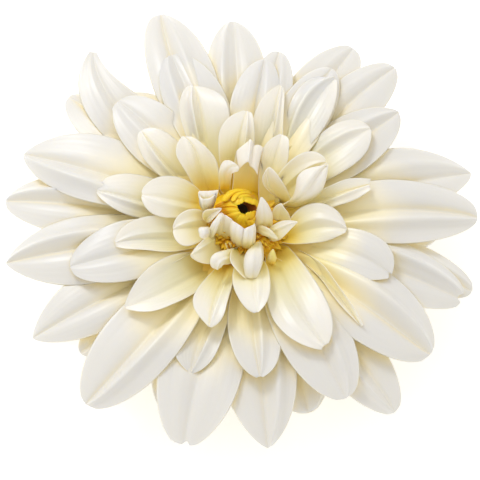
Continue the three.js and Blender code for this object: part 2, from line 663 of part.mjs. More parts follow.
function petalBody() {
  const core = turned([
    [0, CORE_FOOT], [9.6, CORE_FOOT], [13.0, 11.5], [13.6, 17],
    [12.2, 22], [9.8, CORE_TOP], [0, CORE_TOP],
  ], 16);
  const solids = [core];
  for (const row of [...OUTER_WHORL, ...WIDE_WHORL]) solids.push(petalSolid(row, OUTER_PETAL));
  HIDDEN_WHORLS.forEach((whorl, index) => {
    for (const row of hiddenRows(whorl, 10 * index)) solids.push(petalSolid(row, HIDDEN_PETAL));
  });
  for (const sketch of [...WIDE_PETALS, ...MIDDLE_PETALS, ...UPPER_PETALS]) {
    solids.push(sketchSolid(sketch, seenAt, LARGE_PETAL));
  }
  for (const sketch of [...SMALL_PETALS, ...YELLOW_PETALS]) {
    solids.push(sketchSolid(sketch, seenAt, SMALL_PETAL));
  }
  return largestBody(fuse(solids).subtract(seatBody())).simplify(SHORTEST_EDGE);
}

// The room that the closed centre takes, with its clearance
function seatBody() {
  const [radius, , height] = EGG_RADII.map((half) => half + HOOD_LIFT + SEAT_GAP);
  const profile = [[0, CORE_TOP - SEAT_GAP], [radius, CORE_TOP - SEAT_GAP]];
  for (let i = 0; i < 6; i += 1) {
    const angle = (i / 6) * (Math.PI / 2);
    profile.push([radius * Math.cos(angle), EGG_CENTRE[2] + height * Math.sin(angle)]);
  }
  profile.push([0, EGG_CENTRE[2] + height]);
  return turned(profile, 16, EGG_CENTRE);
}

// Closed centre: an egg with a mouth in its top, wrapped in florets that fold over it. They are
// sketches whose third number is how far they stand off the egg, in mm.
const HOODS = [
  {
    name: 'left flank, top',
    left: [[216, 205, -0.6], [220, 202, 0.2], [229, 199, 0.3], [237, 204, 0.2]],
    midrib: [[216, 208, -0.6], [221, 204, 0.5], [230, 202, 0.6], [238, 206, 0.3]],
    right: [[217, 212, -0.6], [223, 208, 0.2], [232, 206, 0.3], [238, 208, 0.1]],
  },
  {
    name: 'left flank, middle',
    left: [[217, 210, -0.6], [223, 207, 0.1], [231, 206, 0.2], [239, 208, 0.2]],
    midrib: [[219, 214, -0.6], [225, 210, 0.5], [233, 209, 0.6], [240, 210.5, 0.3]],
    right: [[222, 218, -0.6], [227, 214, 0.1], [234, 213, 0.2], [241, 212.5, 0.1]],
  },
  {
    name: 'left flank, bottom',
    left: [[222, 216, -0.6], [228, 213, 0.2], [235, 212, 0.4], [240, 211, 0.3]],
    midrib: [[227, 223, -0.6], [231, 217, 0.6], [237, 215, 0.9], [243, 213, 0.5]],
    right: [[233, 228, -0.6], [236, 220, 0.2], [241, 217, 0.4], [246, 214.5, 0.3]],
  },
  {
    name: 'front, left',
    left: [[231, 226, -0.5], [233, 221, 0.5], [236, 217, 0.7], [241, 214, 0.5]],
    midrib: [[238, 231, -0.5], [239, 223, 1.0], [242, 218, 1.2], [246.5, 215, 0.8]],
    right: [[246, 232, -0.5], [246, 225, 0.5], [247, 220, 0.7], [250, 216, 0.6]],
  },
  {
    name: 'front, right',
    left: [[246, 232, -0.5], [246, 226, 0.6], [245, 222, 0.9], [246, 219.5, 0.8]],
    midrib: [[251, 231, -0.5], [251, 225, 1.0], [250, 222, 1.2], [249, 220, 0.9]],
    right: [[256, 228, -0.5], [256, 223, 0.6], [255, 220, 0.9], [252, 219.5, 0.8]],
  },
  {
    name: 'mouth, front',
    left: [[246, 226, -0.4], [244, 220, 0.3], [244, 216, 0.6], [245.5, 213.5, 0.3]],
    midrib: [[252, 225, -0.4], [250.5, 219, 0.5], [250.5, 214, 0.9], [250.5, 211, 0.4]],
    right: [[258, 221, -0.4], [257.5, 217, 0.3], [257, 213, 0.6], [256.5, 211, 0.3]],
  },
  {
    name: 'right flank',
    left: [[257, 216, -0.5], [256, 213, 0.2], [256, 211, 0.4], [255.5, 209.5, 0.2]],
    midrib: [[259, 214, -0.5], [258, 211, 0.5], [257.5, 209, 0.6], [257, 207.5, 0.3]],
    right: [[259.5, 210, -0.5], [259.5, 207, 0.2], [258.5, 205.5, 0.4], [257.5, 205.5, 0.2]],
  },
  {
    name: 'mouth, back left',
    left: [[230, 198, -0.4], [230, 201, 0.2], [233, 204, 0.4], [236.5, 206.8, 0.2]],
    midrib: [[238, 194, -0.4], [239, 198, 0.5], [239.5, 201, 0.7], [240.5, 204.5, 0.3]],
    right: [[248, 194, -0.4], [247, 197, 0.2], [245.5, 199.5, 0.4], [245, 202, 0.2]],
  },
  {
    name: 'mouth, back right',
    left: [[243, 195, -0.4], [243, 198, 0.2], [244, 200.5, 0.5], [244.5, 202, 0.3]],
    midrib: [[252, 197, -0.4], [251.5, 199.5, 0.4], [251, 202, 0.7], [250.5, 204.3, 0.4]],
    right: [[260, 204, -0.4], [259.5, 204.5, 0.2], [258.5, 206, 0.4], [257.8, 208, 0.3]],
  },
  {
    name: 'third hood',
    left: [[257, 201, -0.3], [252, 196, 0.3], [245, 195, 0.4], [239, 199.5, 0.3]],
    midrib: [[258, 202.5, -0.3], [253, 198, 0.6], [246, 197, 0.8], [240, 200.5, 0.5]],
    right: [[259, 204.5, -0.3], [254, 201, 0.4], [248, 199.8, 0.6], [241.5, 201, 0.4]],
  },
  {
    name: 'second hood',
    left: [[255, 197, -0.2], [249, 192, 0.4], [240, 191.5, 0.5], [236, 197, 0.5]],
    midrib: [[256, 199, -0.2], [250, 194.5, 0.8], [242, 193.5, 1.0], [237.5, 198, 0.7]],
    right: [[257, 201, -0.2], [251, 197.5, 0.6], [246, 196.5, 0.8], [239.5, 198.5, 0.5]],
  },
  {
    name: 'inner crescent',
    left: [[253, 194.5, -0.2], [244, 189, 0.9], [232, 190, 1.1], [230.5, 201, 0.8]],
    midrib: [[254, 195.5, -0.2], [245, 190.5, 1.4], [235, 191, 1.7], [232.5, 202, 1.1]],
    right: [[254, 197, -0.2], [246, 193, 1.1], [238, 192.5, 1.3], [235.5, 201, 0.9]],
  },
  {
    name: 'outer crescent',
    left: [[250, 192, -0.3], [241, 186.5, 1.0], [226, 188, 1.0], [220.5, 201.5, 0.7]],
    midrib: [[251, 192.5, -0.2], [241, 188, 1.7], [229, 190.5, 2.0], [222.5, 202, 1.3]],
    right: [[251, 193.5, -0.2], [243, 190, 1.3], [233, 193, 1.5], [225.5, 201.5, 1.1]],
  },
];

function centreBody() {
  const foot = CORE_TOP + SEAT_GAP;
  const egg = turned([
    [0, foot], [5.9, foot], [6.5, 28], [6.0, 30.6], [4.9, 32.2], [4.0, 31.8], [3.0, 30.2],
    [1.6, 29.2], [0, 28.8],
  ], 20, EGG_CENTRE);
  const solids = [egg];
  for (const hood of HOODS) {
    solids.push(sketchSolid(hood, seenOnEgg, FLORET));
  }
  return largestBody(fuse(solids).trimByPlane([0, 0, 1], foot));
}

// Calyx: green receptacle foot with its cut stem stub, inner bracts and turned-down outer bracts
const INNER_BRACT = { crease: 0.05, foldRoot: 25, foldTip: 14, widest: 0.5, fall: 0.6 };
const OUTER_BRACT = { crease: 0.08, foldRoot: 25, foldTip: 20, widest: 0.55, fall: 0.6 };

function bractSolid(azimuth, from, to, pitches, width, shape) {
  const root = outward(azimuth).multiplyScalar(from[0]).setZ(from[1]);
  const tip = outward(azimuth).multiplyScalar(to[0]).setZ(to[1]);
  const span = root.distanceTo(tip);
  const curve = new THREE.CubicBezierCurve3(
    root,
    root.clone().addScaledVector(direction(azimuth, radians(pitches[0])), 0.35 * span),
    tip.clone().addScaledVector(direction(azimuth, radians(pitches[1])), -0.35 * span),
    tip,
  );
  return bladeSolid(curve, outward(azimuth + Math.PI / 2), width, 0, shape, BRACT);
}

function calyxBody() {
  const solids = [turned([
    [0, 0], [STUB_RADIUS, 0], [STUB_RADIUS, 2.6], [4.2, 4.4], [7.6, 5.8],
    [9.2, CALYX_TOP], [0, CALYX_TOP],
  ], 20)];
  for (let i = 0; i < 8; i += 1) {
    const azimuth = radians(45 * i + 10);
    solids.push(bractSolid(azimuth, [6.5, 6.6], [18, 6.4], [4, -4], 7.5, INNER_BRACT));
  }
  for (let i = 0; i < 5; i += 1) {
    const azimuth = radians(72 * i + 30);
    solids.push(bractSolid(azimuth, [4.0, 5.0], [14.5, 2.0], [2, -30], 6, OUTER_BRACT));
  }
  return fuse(solids);
}

const flower = new THREE.Group();
flower.add(meshOf('petals', petalBody(), { color: 0xf7f3e6, roughness: 0.55, metalness: 0 }));
flower.add(meshOf('centre', centreBody(), { color: 0xf0c22e, roughness: 0.5, metalness: 0 }));
flower.add(meshOf('calyx', calyxBody(), { color: 0x86a05a, roughness: 0.6, metalness: 0 }));

export default flower;
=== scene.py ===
"""A cream-white dahlia bloom, as picked: ray petals in whorls round a closed golden centre.

It grows on a green calyx and rests on the cut face of its short stem. Lengths in the tables are in
millimetres, and MM turns them into metres where a mesh is made. +Z is up, and the origin is the
middle of the cut face.
"""

import math
from collections import namedtuple

import bpy
import numpy as np
from bpy.props import FloatProperty, FloatVectorProperty, IntProperty, PointerProperty
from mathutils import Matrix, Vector


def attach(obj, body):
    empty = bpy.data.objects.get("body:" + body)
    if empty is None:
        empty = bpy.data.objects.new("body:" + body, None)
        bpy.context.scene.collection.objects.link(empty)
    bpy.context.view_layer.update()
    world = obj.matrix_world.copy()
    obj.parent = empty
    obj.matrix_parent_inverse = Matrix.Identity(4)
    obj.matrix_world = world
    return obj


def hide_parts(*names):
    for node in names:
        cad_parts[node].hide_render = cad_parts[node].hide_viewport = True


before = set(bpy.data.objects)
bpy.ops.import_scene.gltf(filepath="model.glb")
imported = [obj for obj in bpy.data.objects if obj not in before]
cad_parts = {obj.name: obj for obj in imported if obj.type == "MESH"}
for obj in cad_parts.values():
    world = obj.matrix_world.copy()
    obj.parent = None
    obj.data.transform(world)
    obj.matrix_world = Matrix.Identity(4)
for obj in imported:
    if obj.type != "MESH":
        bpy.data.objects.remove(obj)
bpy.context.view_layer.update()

bl_info = {
    "name": "Dahlia bloom",
    "version": (1, 0, 0),
    "blender": (4, 5, 0),
    "location": "3D View > Sidebar > Dahlia",
    "description": "Builds a cream-white dahlia bloom round its fixed frame",
    "category": "Add Mesh",
}

MM = 0.001
BODY = "root"

# The outer petals form one family of nested profiles. A level is a place in that family, from the
# lowest petals (0) to the middle of the bloom (4), and a petal may lie between two of them.
#   root_radius, root_height, root_pitch: where the petal leaves the receptacle, and how steeply
#   reach, height, tip_pitch: where a typical petal ends, and how steeply
#   crease: depth of the valley along the midrib, as a share of the half width
#   fold_root, fold_tip: how far each half is rolled up, in degrees
#   widest, fall: place of the greatest width along the petal, and how bluntly the tip closes
Shape = namedtuple(
    "Shape",
    "root_radius root_height root_pitch reach height tip_pitch crease fold_root fold_tip widest fall",
)
LEVELS = [
    Shape(8.5, 11.4, -12, 53, 1.9, -26, 0.20, 28, 6, 0.62, 0.72),
    Shape(9.5, 13.2, 2, 61, 9.0, -20, 0.20, 28, 6, 0.62, 0.72),
    Shape(10.0, 15.4, 14, 75, 17.0, -14, 0.20, 28, 5, 0.60, 0.74),
    Shape(9.8, 17.8, 26, 60, 23.5, -8, 0.20, 30, 6, 0.60, 0.70),
    Shape(8.8, 20.0, 37, 49, 28.5, -2, 0.18, 34, 10, 0.60, 0.66),
]

# The form of a petal's end: how far along the outline stops, how deep a notch is cut into it as a
# share of the length, where across the notch lies and how wide it is, and how acutely it all closes
Tip = namedtuple("Tip", "end notch at spread acute")
ROUND = Tip(0.995, 0.0, 0.0, 0.3, 0.76)
POINTED = Tip(1.0, 0.0, 0.0, 0.3, 0.98)
NOTCHED = Tip(0.985, 0.022, 0.1, 0.35, 0.76)
LOBED = Tip(0.985, 0.018, 0.1, 0.22, 0.76)

# Place in the family, azimuth of the tip in degrees counterclockwise from +X, reach from the axis and
# width in mm, roll about the midrib and sideways bend of the midrib in degrees, form of the tip, and
# lean, which moves the crease towards one margin
Petal = namedtuple("Petal", "level azimuth reach width roll bend tip lean", defaults=(0, 0, ROUND, 0.0))
OUTER_WHORL = [
    Petal(2.55, 2.5, 74, 22, 0, 5, ROUND, 0.3),
    Petal(2.1, 15.2, 75, 23, 0, 5, POINTED, -0.2),
    Petal(2.3, 49, 75, 19, 0, 5, ROUND, 0.2),
    Petal(1.9, 61, 74, 20, 0, 6, ROUND, -0.2),
    Petal(2.0, 92.5, 74, 20, 0, 0, ROUND, -0.1),
    Petal(2.4, 109, 81, 21, 0, 5, ROUND, 0.4),
    Petal(1.75, 139.5, 74, 20),
    Petal(2.6, 160, 74, 24, 2, -5, POINTED, 0.2),
    Petal(1.9, 172, 76, 21, 0, 0, ROUND, -0.1),
    Petal(2.35, 189, 75, 23, 0, 4, POINTED, -0.2),
    Petal(1.95, 209, 74.5, 21, 0, 0, POINTED, 0.1),
    Petal(1.65, 219, 65, 16),
    Petal(2.5, 230.5, 76, 24, 0, 3, ROUND, 0.2),
    Petal(2.15, 256, 74.5, 26, 0, -3, LOBED, -0.1),
    Petal(1.8, 276, 72, 23, 0, 0, POINTED, 0.1),
    Petal(1.8, 308, 76, 20, 0, 0, ROUND, 0.2),
    Petal(2.6, 323.5, 72, 25, 0, 3, ROUND, -0.2),
    Petal(2.25, 340.5, 73, 20, 0, 3, NOTCHED, 0.1),
    Petal(1.8, 344.5, 74.5, 18, 0, 3, ROUND, 0.1),
]
WIDE_WHORL = [
    Petal(2.75, 79, 61.5, 15, 0, 0, ROUND, 0.1),
    Petal(2.8, 38, 63, 20, 0, 0, POINTED, -0.2),
    Petal(2.85, 298.5, 66, 22, 0, 3, ROUND, 0.1),
    Petal(2.95, 62, 61, 17, 0, 0, ROUND, 0.2),
    Petal(3.1, 83, 57, 16, 0, 5, ROUND, -0.1),
    Petal(2.85, 111, 63.5, 20, 0, -3, ROUND, 0.3),
    Petal(2.9, 133.5, 58, 20, 0, 0, ROUND, -0.2),
    Petal(3.1, 196, 56, 20, 0, 2, ROUND, 0.1),
]

# Petals that have a form of their own, each spanned by its left margin, midrib and right margin. A
# curve has four points from the root to the tip, as pixel column and row in the photograph and height
# in mm. Pale is how far along the run of colours, from gold to white, the petal starts, and jag is
# how deep the teeth of its end are, as a share of the length.
Sketch = namedtuple("Sketch", "name left midrib right pale jag", defaults=(0.0, 0.0))
WIDE_PETALS = [
    Sketch(
        "top left, bent",
        [(192, 196, 15.5), (94, 152, 20), (56, 90, 20.5), (91, 50.5, 18)],
        [(198, 190, 14.5), (142, 142, 19), (92, 92, 19), (93.5, 50.5, 18)],
        [(204, 184, 15.5), (176, 100, 22), (112, 92, 21.5), (96, 50.5, 18)],
        0.2,
    ),
    Sketch(
        "right, low",
        [(286, 240, 19), (330, 214, 29), (412, 228, 31), (391, 277, 26)],
        [(286, 244, 18), (318, 246, 24), (356, 246, 29), (391, 275, 26)],
        [(284, 247, 18), (312, 256, 24), (344, 292, 28), (391, 278, 26)],
    ),
    Sketch(
        "bottom",
        [(240, 264, 17), (222, 310, 26), (220, 366, 28), (259, 378, 24)],
        [(250, 264, 15), (250, 310, 22), (256, 350, 25), (260, 378, 24)],
        [(262, 264, 17), (276, 306, 26), (296, 366, 28), (262, 378, 24)],
    ),
    Sketch(
        "bottom, left",
        [(220, 266, 15), (180, 292, 24), (152, 350, 27), (190, 374, 22)],
        [(228, 268, 14), (216, 306, 20), (196, 346, 24), (190, 374, 22)],
        [(236, 268, 15), (236, 310, 24), (226, 362, 27), (192, 374, 22)],
    ),
]
MIDDLE_PETALS = [
    Sketch(
        "top, left",
        [(204, 190, 20), (186, 135, 30), (166, 88, 31), (192, 85.5, 28)],
        [(214, 190, 18), (204, 140, 24), (200, 110, 28), (194, 85.5, 28)],
        [(220, 190, 20), (224, 140, 29), (254, 92, 32), (196, 85.5, 28)],
    ),
    Sketch(
        "top, right",
        [(254, 190, 19), (258, 140, 29), (240, 104, 32), (280, 84, 28)],
        [(264, 190, 17), (268, 150, 24), (272, 116, 28), (281, 84, 28)],
        [(272, 190, 19), (280, 150, 28), (289, 110, 30), (283, 86, 28)],
    ),
    Sketch(
        "upper right, far",
        [(266, 190, 17), (290, 130, 26), (280, 68, 29), (335, 77, 24)],
        [(272, 190, 17), (296, 140, 26), (310, 100, 29), (336, 78, 24.5)],
        [(276, 192, 17), (304, 146, 28), (342, 124, 30), (337, 80, 25)],
    ),
    Sketch(
        "upper right, near",
        [(276, 194, 19), (306, 128, 27), (354, 106, 30), (371, 128, 28)],
        [(280, 196, 18), (316, 160, 26), (350, 140, 29), (371, 128.5, 28)],
        [(286, 196, 19), (330, 184, 27), (377, 162, 30), (371, 129, 28)],
    ),
    Sketch(
        "right, two-toothed",
        [(282, 203, 24), (330, 196, 29), (326, 170, 31), (373, 180.5, 29)],
        [(284, 210, 22.5), (312, 204, 25), (340, 192, 28), (371, 184.5, 28)],
        [(288, 217, 22.5), (330, 214, 26), (352, 202, 29), (372, 190, 29)],
    ),
    Sketch(
        "lower right, on edge",
        [(288, 246, 19), (330, 258, 28), (344, 286, 31), (363, 328, 27)],
        [(286, 248, 17), (318, 266, 22), (340, 294, 27), (362, 328, 26)],
        [(285, 250, 17), (312, 266, 24), (334, 298, 30), (361, 328, 26)],
    ),
    Sketch(
        "lower right, broad",
        [(266, 250, 21), (262, 290, 28), (266, 348, 31), (324, 350, 28)],
        [(274, 250, 19), (282, 284, 24), (298, 320, 28), (326, 347, 28)],
        [(288, 246, 21), (304, 262, 28), (348, 314, 33), (328, 345, 28)],
    ),
    Sketch(
        "lower left, round",
        [(222, 262, 20), (204, 280, 29), (174, 300, 32), (209, 328, 29)],
        [(230, 262, 18), (222, 282, 25), (210, 306, 29), (209, 328, 29)],
        [(236, 262, 20), (234, 286, 29), (232, 318, 32), (210, 328, 29)],
    ),
    Sketch(
        "lower left, long",
        [(216, 268, 19), (196, 306, 28), (160, 316, 31), (124, 309, 26)],
        [(214, 262, 17), (190, 280, 23), (156, 298, 27), (124, 308, 26)],
        [(210, 256, 19), (180, 242, 28), (134, 264, 30), (124, 307, 26)],
    ),
    Sketch(
        "left, low",
        [(212, 244, 20), (180, 252, 27), (140, 256, 30), (114, 245, 28)],
        [(212, 236, 18), (184, 244, 24), (146, 234, 27), (114, 244, 28)],
        [(212, 228, 20), (176, 206, 29), (122, 210, 32), (114, 243, 28)],
    ),
    Sketch(
        "left, far",
        [(196, 222, 18), (150, 222, 27), (104, 214, 29.5), (96, 192, 26.5)],
        [(196, 212, 18), (150, 206, 26), (120, 194, 28), (96, 191, 26.5)],
        [(196, 200, 18), (156, 170, 29), (104, 164, 30), (96, 190, 26.5)],
    ),
]
UPPER_PETALS = [
    Sketch(
        "upper left, far",
        [(196, 204, 20), (158, 178, 28), (126, 146, 32), (140, 131, 30)],
        [(202, 198, 18), (176, 176, 25), (154, 150, 29), (141, 130, 30)],
        [(206, 190, 20), (190, 146, 29), (164, 120, 32), (142, 129.5, 30)],
    ),
    Sketch(
        "upper left, near",
        [(200, 196, 22), (184, 168, 33), (166, 148, 35), (183, 136, 32)],
        [(211, 194, 20), (196, 172, 26), (202, 150, 31), (184, 136, 32)],
        [(219, 192, 22), (222, 168, 31), (214, 140, 34), (186, 136, 32)],
    ),
    Sketch(
        "left",
        [(208, 214, 22), (184, 222, 28), (144, 222, 33), (141, 197, 31)],
        [(208, 206, 20), (184, 204, 27), (162, 196, 31), (141, 195, 31)],
        [(206, 200, 22), (192, 170, 32), (148, 168, 34), (141, 193, 31)],
    ),
    Sketch(
        "top",
        [(226, 190, 21), (214, 150, 30), (212, 116, 34), (245, 110.5, 31)],
        [(237, 186, 19), (236, 150, 26), (240, 130, 31), (247, 110.5, 31)],
        [(250, 188, 20), (252, 150, 28), (260, 112, 34), (249, 111.5, 31)],
    ),
    Sketch(
        "upper right, small",
        [(259, 202, 25), (256, 164, 29), (262, 138, 34), (280, 134, 32)],
        [(268, 206, 24), (270, 166, 26), (278, 150, 31), (282, 134, 32)],
        [(279, 204, 24), (281, 166, 29), (299, 140, 34), (284, 135, 32)],
        0.2,
    ),
    Sketch(
        "right, upper half",
        [(268, 204, 23), (276, 150, 33), (320, 142, 34), (327, 161, 32)],
        [(276, 204, 21), (290, 190, 25), (308, 170, 28), (327.5, 162, 32)],
        [(284, 206, 22), (312, 207, 27), (328, 186, 31), (328, 163, 32)],
        0.3,
    ),
    Sketch(
        "right, turned-up half",
        [(286, 203, 27), (306, 190, 33), (278, 172, 36), (325, 166, 34)],
        [(286, 204, 25), (306, 198, 34), (312, 180, 37), (327, 164, 33)],
        [(286, 208, 21), (312, 209, 27), (328, 188, 31), (328, 163, 32)],
        0.6,
    ),
    Sketch(
        "right, lower",
        [(284, 236, 23), (290, 194, 31), (338, 192, 33), (347, 228, 29)],
        [(284, 239, 21), (304, 230, 26), (326, 222, 30), (347.5, 230, 29)],
        [(280, 242, 22), (308, 250, 26), (332, 240, 29), (346, 233, 29)],
    ),
    Sketch(
        "bottom",
        [(242, 255, 23.5), (224, 272, 31), (234, 308, 33), (256, 313, 31)],
        [(250, 256, 21), (250, 274, 28), (254, 296, 31), (257, 313, 31)],
        [(262, 258, 23), (276, 272, 31), (270, 308, 33), (258, 313, 31)],
    ),
    Sketch(
        "top hood",
        [(232, 192, 24), (235, 152, 31), (233, 132, 36), (239, 172, 34)],
        [(247, 194, 23), (250, 140, 31), (252, 120, 38.5), (248, 164, 37)],
        [(262, 192, 24), (264, 158, 30), (266, 122, 37), (259, 178, 33)],
        0.1,
    ),
    Sketch(
        "top nodding cap",
        [(220, 189, 24), (219, 176, 31), (216, 158, 36), (231, 160, 37)],
        [(224, 189, 23), (226, 178, 31), (224, 164, 36), (239, 166, 36.5)],
        [(230, 188, 24), (232, 180, 31), (227, 173, 34), (238.5, 171.5, 35.5)],
        0.1,
    ),
]
SMALL_PETALS = [
    Sketch(
        "front guard, right lobe",
        [(242, 248, 24), (243, 243, 30), (242, 236, 34), (244, 228.5, 35.5)],
        [(247, 250, 23), (247, 244, 31), (248, 235, 36), (250, 226, 36)],
        [(252, 250, 23), (257, 246, 26), (257, 234, 32), (254.4, 222.5, 36)],
        0.15,
    ),
    Sketch(
        "front guard, left lobe",
        [(233, 246, 23), (229, 240, 27), (229, 230, 32), (231.5, 219, 35)],
        [(238, 248, 23), (234, 241, 29), (235, 232, 35), (238, 223.5, 35.5)],
        [(243, 248, 24), (242, 242, 31), (243, 236, 35), (244.5, 228.5, 35.5)],
        0.35,
    ),
    Sketch(
        "left guard",
        [(214, 236, 26), (210, 232, 29), (216, 221, 32), (221.5, 211.5, 34)],
        [(222, 240, 24), (222, 232, 28), (224, 222, 32), (226.5, 215, 34.5)],
        [(231, 242, 24), (230, 234, 29), (231, 226, 33), (232, 219, 35)],
    ),
    Sketch(
        "right guard",
        [(254, 231, 25), (252, 224, 29), (257, 212, 34), (260.5, 196.5, 37)],
        [(262, 232, 23), (263, 224, 30), (265, 210, 35.5), (261, 196.5, 37)],
        [(271, 230, 24), (274, 224, 28), (274, 206, 34), (261.5, 196.5, 37)],
        0.2,
    ),
    Sketch(
        "right guard's foot",
        [(255, 226, 26), (262, 224, 31), (270, 226, 32), (278, 238, 29)],
        [(255, 228.5, 26), (262, 229, 30), (270, 232, 31), (278, 239, 29)],
        [(255, 231, 25), (262, 235, 28), (268, 238, 29), (278, 239.5, 29)],
        0.5,
    ),
    Sketch(
        "right leaf",
        [(264, 233, 25), (272, 224, 31), (284, 217, 34), (298, 221.5, 33)],
        [(266, 237, 24), (274, 234, 29), (286, 226, 32), (298, 221.5, 33)],
        [(268, 240, 24), (280, 246, 28), (288, 231, 32), (298, 221.5, 33)],
        0.5,
    ),
    Sketch(
        "right bract",
        [(272, 224, 24), (270, 215, 28), (272, 206, 31), (281, 203, 33)],
        [(280, 226, 23), (278, 217, 27), (281, 210, 30), (281, 203, 33)],
        [(291, 224, 24), (292, 218, 28), (286, 209, 32), (281, 203, 33)],
        0.3,
    ),
    Sketch(
        "upper right leaf",
        [(278, 197, 25), (262, 190, 29), (258, 176, 34), (268.3, 167, 35)],
        [(285, 202, 23), (272, 192, 27), (266, 178, 31), (268.5, 167, 35)],
        [(293, 205, 24), (288, 191, 30), (281, 173, 35), (268.7, 167, 35)],
        0.2,
    ),
    Sketch(
        "funnel, far side",
        [(203, 212, 25), (198, 204, 31), (199, 197, 35), (199, 190.5, 36)],
        [(207, 212, 25), (206, 206, 32), (207, 200, 35.3), (208, 190.5, 36)],
        [(212, 211, 25), (216, 204, 32), (216, 197, 35.5), (219, 189.5, 36.5)],
        0.6,
    ),
    Sketch(
        "funnel, near side",
        [(203, 212, 26), (200, 208, 29), (198, 197, 33), (199, 191, 35)],
        [(207, 212, 26), (206, 209, 30), (204, 202, 35), (206, 198.5, 36)],
        [(211, 211, 26), (216, 208, 29), (214, 199, 34), (219, 190, 36)],
        0.35,
    ),
    Sketch(
        "spoon",
        [(204, 220, 29), (198, 210, 33), (210, 207, 35), (222, 208.5, 35)],
        [(205, 221, 28), (207, 216, 29), (212, 213, 32), (222, 208.5, 35)],
        [(206, 222, 28), (212, 225, 31), (214, 217, 34), (222, 208.5, 35)],
        0.1,
    ),
    Sketch(
        "round left petal",
        [(212, 220, 23), (204, 203, 32), (174, 205, 34), (172.5, 229, 30)],
        [(214, 225, 22), (202, 226, 26), (186, 228, 30), (172.5, 230, 30)],
        [(214, 230, 23), (202, 246, 30), (176, 256, 32), (172.5, 231, 30)],
        0.2,
    ),
    Sketch(
        "left blob",
        [(213, 229, 28), (208, 225, 34), (196, 225, 35), (199, 233, 33)],
        [(213, 231, 27), (208, 231, 35), (203, 231, 38), (199.5, 234, 33)],
        [(211, 233, 27), (208, 239, 31), (201, 242, 34), (200, 235, 33)],
        0.5,
    ),
    Sketch(
        "left rolled margin",
        [(207, 236, 28), (208, 230, 33), (213, 222, 35), (219.5, 213, 35)],
        [(210, 238, 27), (212, 231, 33), (217, 223, 36), (221, 213, 35)],
        [(213, 238, 27), (215, 233, 32), (220, 225, 34), (222.5, 214, 35)],
        0.6,
    ),
    Sketch(
        "left wing",
        [(213, 231, 26), (207, 236, 31), (196, 244, 31), (190, 255.5, 29)],
        [(222, 243, 22), (213, 248, 28), (202, 252, 30), (190, 255.7, 29)],
        [(228, 252, 22), (220, 268, 27), (200, 267, 28), (190, 256, 29)],
        0.2,
    ),
    Sketch(
        "knob",
        [(238, 247, 25), (228, 250, 31), (206, 250, 35), (210.5, 266, 31)],
        [(239, 252, 23), (228, 258, 31), (214, 253, 36), (215, 269.5, 30)],
        [(240, 258, 23), (232, 268, 27), (222, 262, 33), (221.5, 267, 30)],
        0.4,
    ),
    Sketch(
        "front lip",
        [(234, 248, 27), (226, 254, 34), (230, 268, 34), (246, 279, 29)],
        [(241, 249, 23), (240, 256, 26), (240, 268, 29), (250, 279.5, 28)],
        [(250, 250, 22), (254, 258, 24), (256, 272, 27), (254, 279, 28)],
        0.05,
    ),
    Sketch(
        "front hood",
        [(254, 245, 27), (246, 250, 32), (240, 262, 33), (246, 277, 29)],
        [(256, 242, 26), (258, 250, 35), (254, 266, 35), (252, 279, 28)],
        [(257, 239, 25), (268, 244, 29), (262, 266, 30), (257, 278, 27)],
        0.45,
    ),
]
YELLOW_PETALS = [
    Sketch(
        "yellow edge",
        [(281, 160, 25), (283, 155, 28), (287, 149, 30), (291, 145, 30)],
        [(282, 160, 25), (284, 156, 27), (288, 150, 29), (291.5, 145.5, 30)],
        [(283, 160, 25), (285.5, 156.5, 27), (289.5, 150.5, 29), (292, 146, 30)],
    ),
    Sketch(
        "long strand",
        [(228, 252, 23), (227.4, 249, 26), (225.4, 246, 28), (224.8, 243, 28)],
        [(228.8, 252, 23), (228.2, 249, 26), (226.3, 246, 28), (225.4, 243, 28)],
        [(229.6, 252, 23), (229, 249, 26), (227.4, 246, 28), (226, 243, 28)],
    ),
    Sketch(
        "short strand",
        [(231, 249, 24), (230.5, 247, 26), (229.2, 245, 28), (228.6, 242.6, 28)],
        [(231.8, 249, 24), (231.4, 247, 26), (230.3, 245, 28), (229.2, 242.6, 28)],
        [(232.6, 249, 24), (232.4, 247, 26), (231.4, 245, 28), (229.8, 242.6, 28)],
    ),
    Sketch(
        "yellow petal",
        [(270, 263, 22), (264, 261, 24), (269, 253, 27), (273, 249, 28)],
        [(272, 264, 22), (271, 260, 26), (273, 254, 28), (273, 249, 28)],
        [(274, 263, 22), (278, 261, 24), (276, 253, 27), (273, 249, 28)],
    ),
]

# The petals that the outer ones hide, placed evenly by a rule: level, how many, azimuth of the first
# one, reach and width as above, and channel of their random draws
Whorl = namedtuple("Whorl", "level count phase reach width channel")
LOWER_WHORLS = [
    Whorl(1.25, 9, 7, 63, 22, 0),
    Whorl(0.65, 8, 22, 59, 22, 10),
    Whorl(0.1, 7, 2, 52, 20, 20),
]

# Where the sketched petals start inside the receptacle: distance from the axis, lowest and highest
# place, and how far below the foot of the sketch
ROOT_RADIUS = 8
ROOT_HEIGHTS = (12, 22)
ROOT_DROP = 2

# Receptacle, under the closed centre, as [radius, height]
CORE_PROFILE = [(0, 8.3), (9.6, 8.3), (13.0, 11.5), (13.6, 17), (12.2, 22), (9.8, 25), (0, 25)]

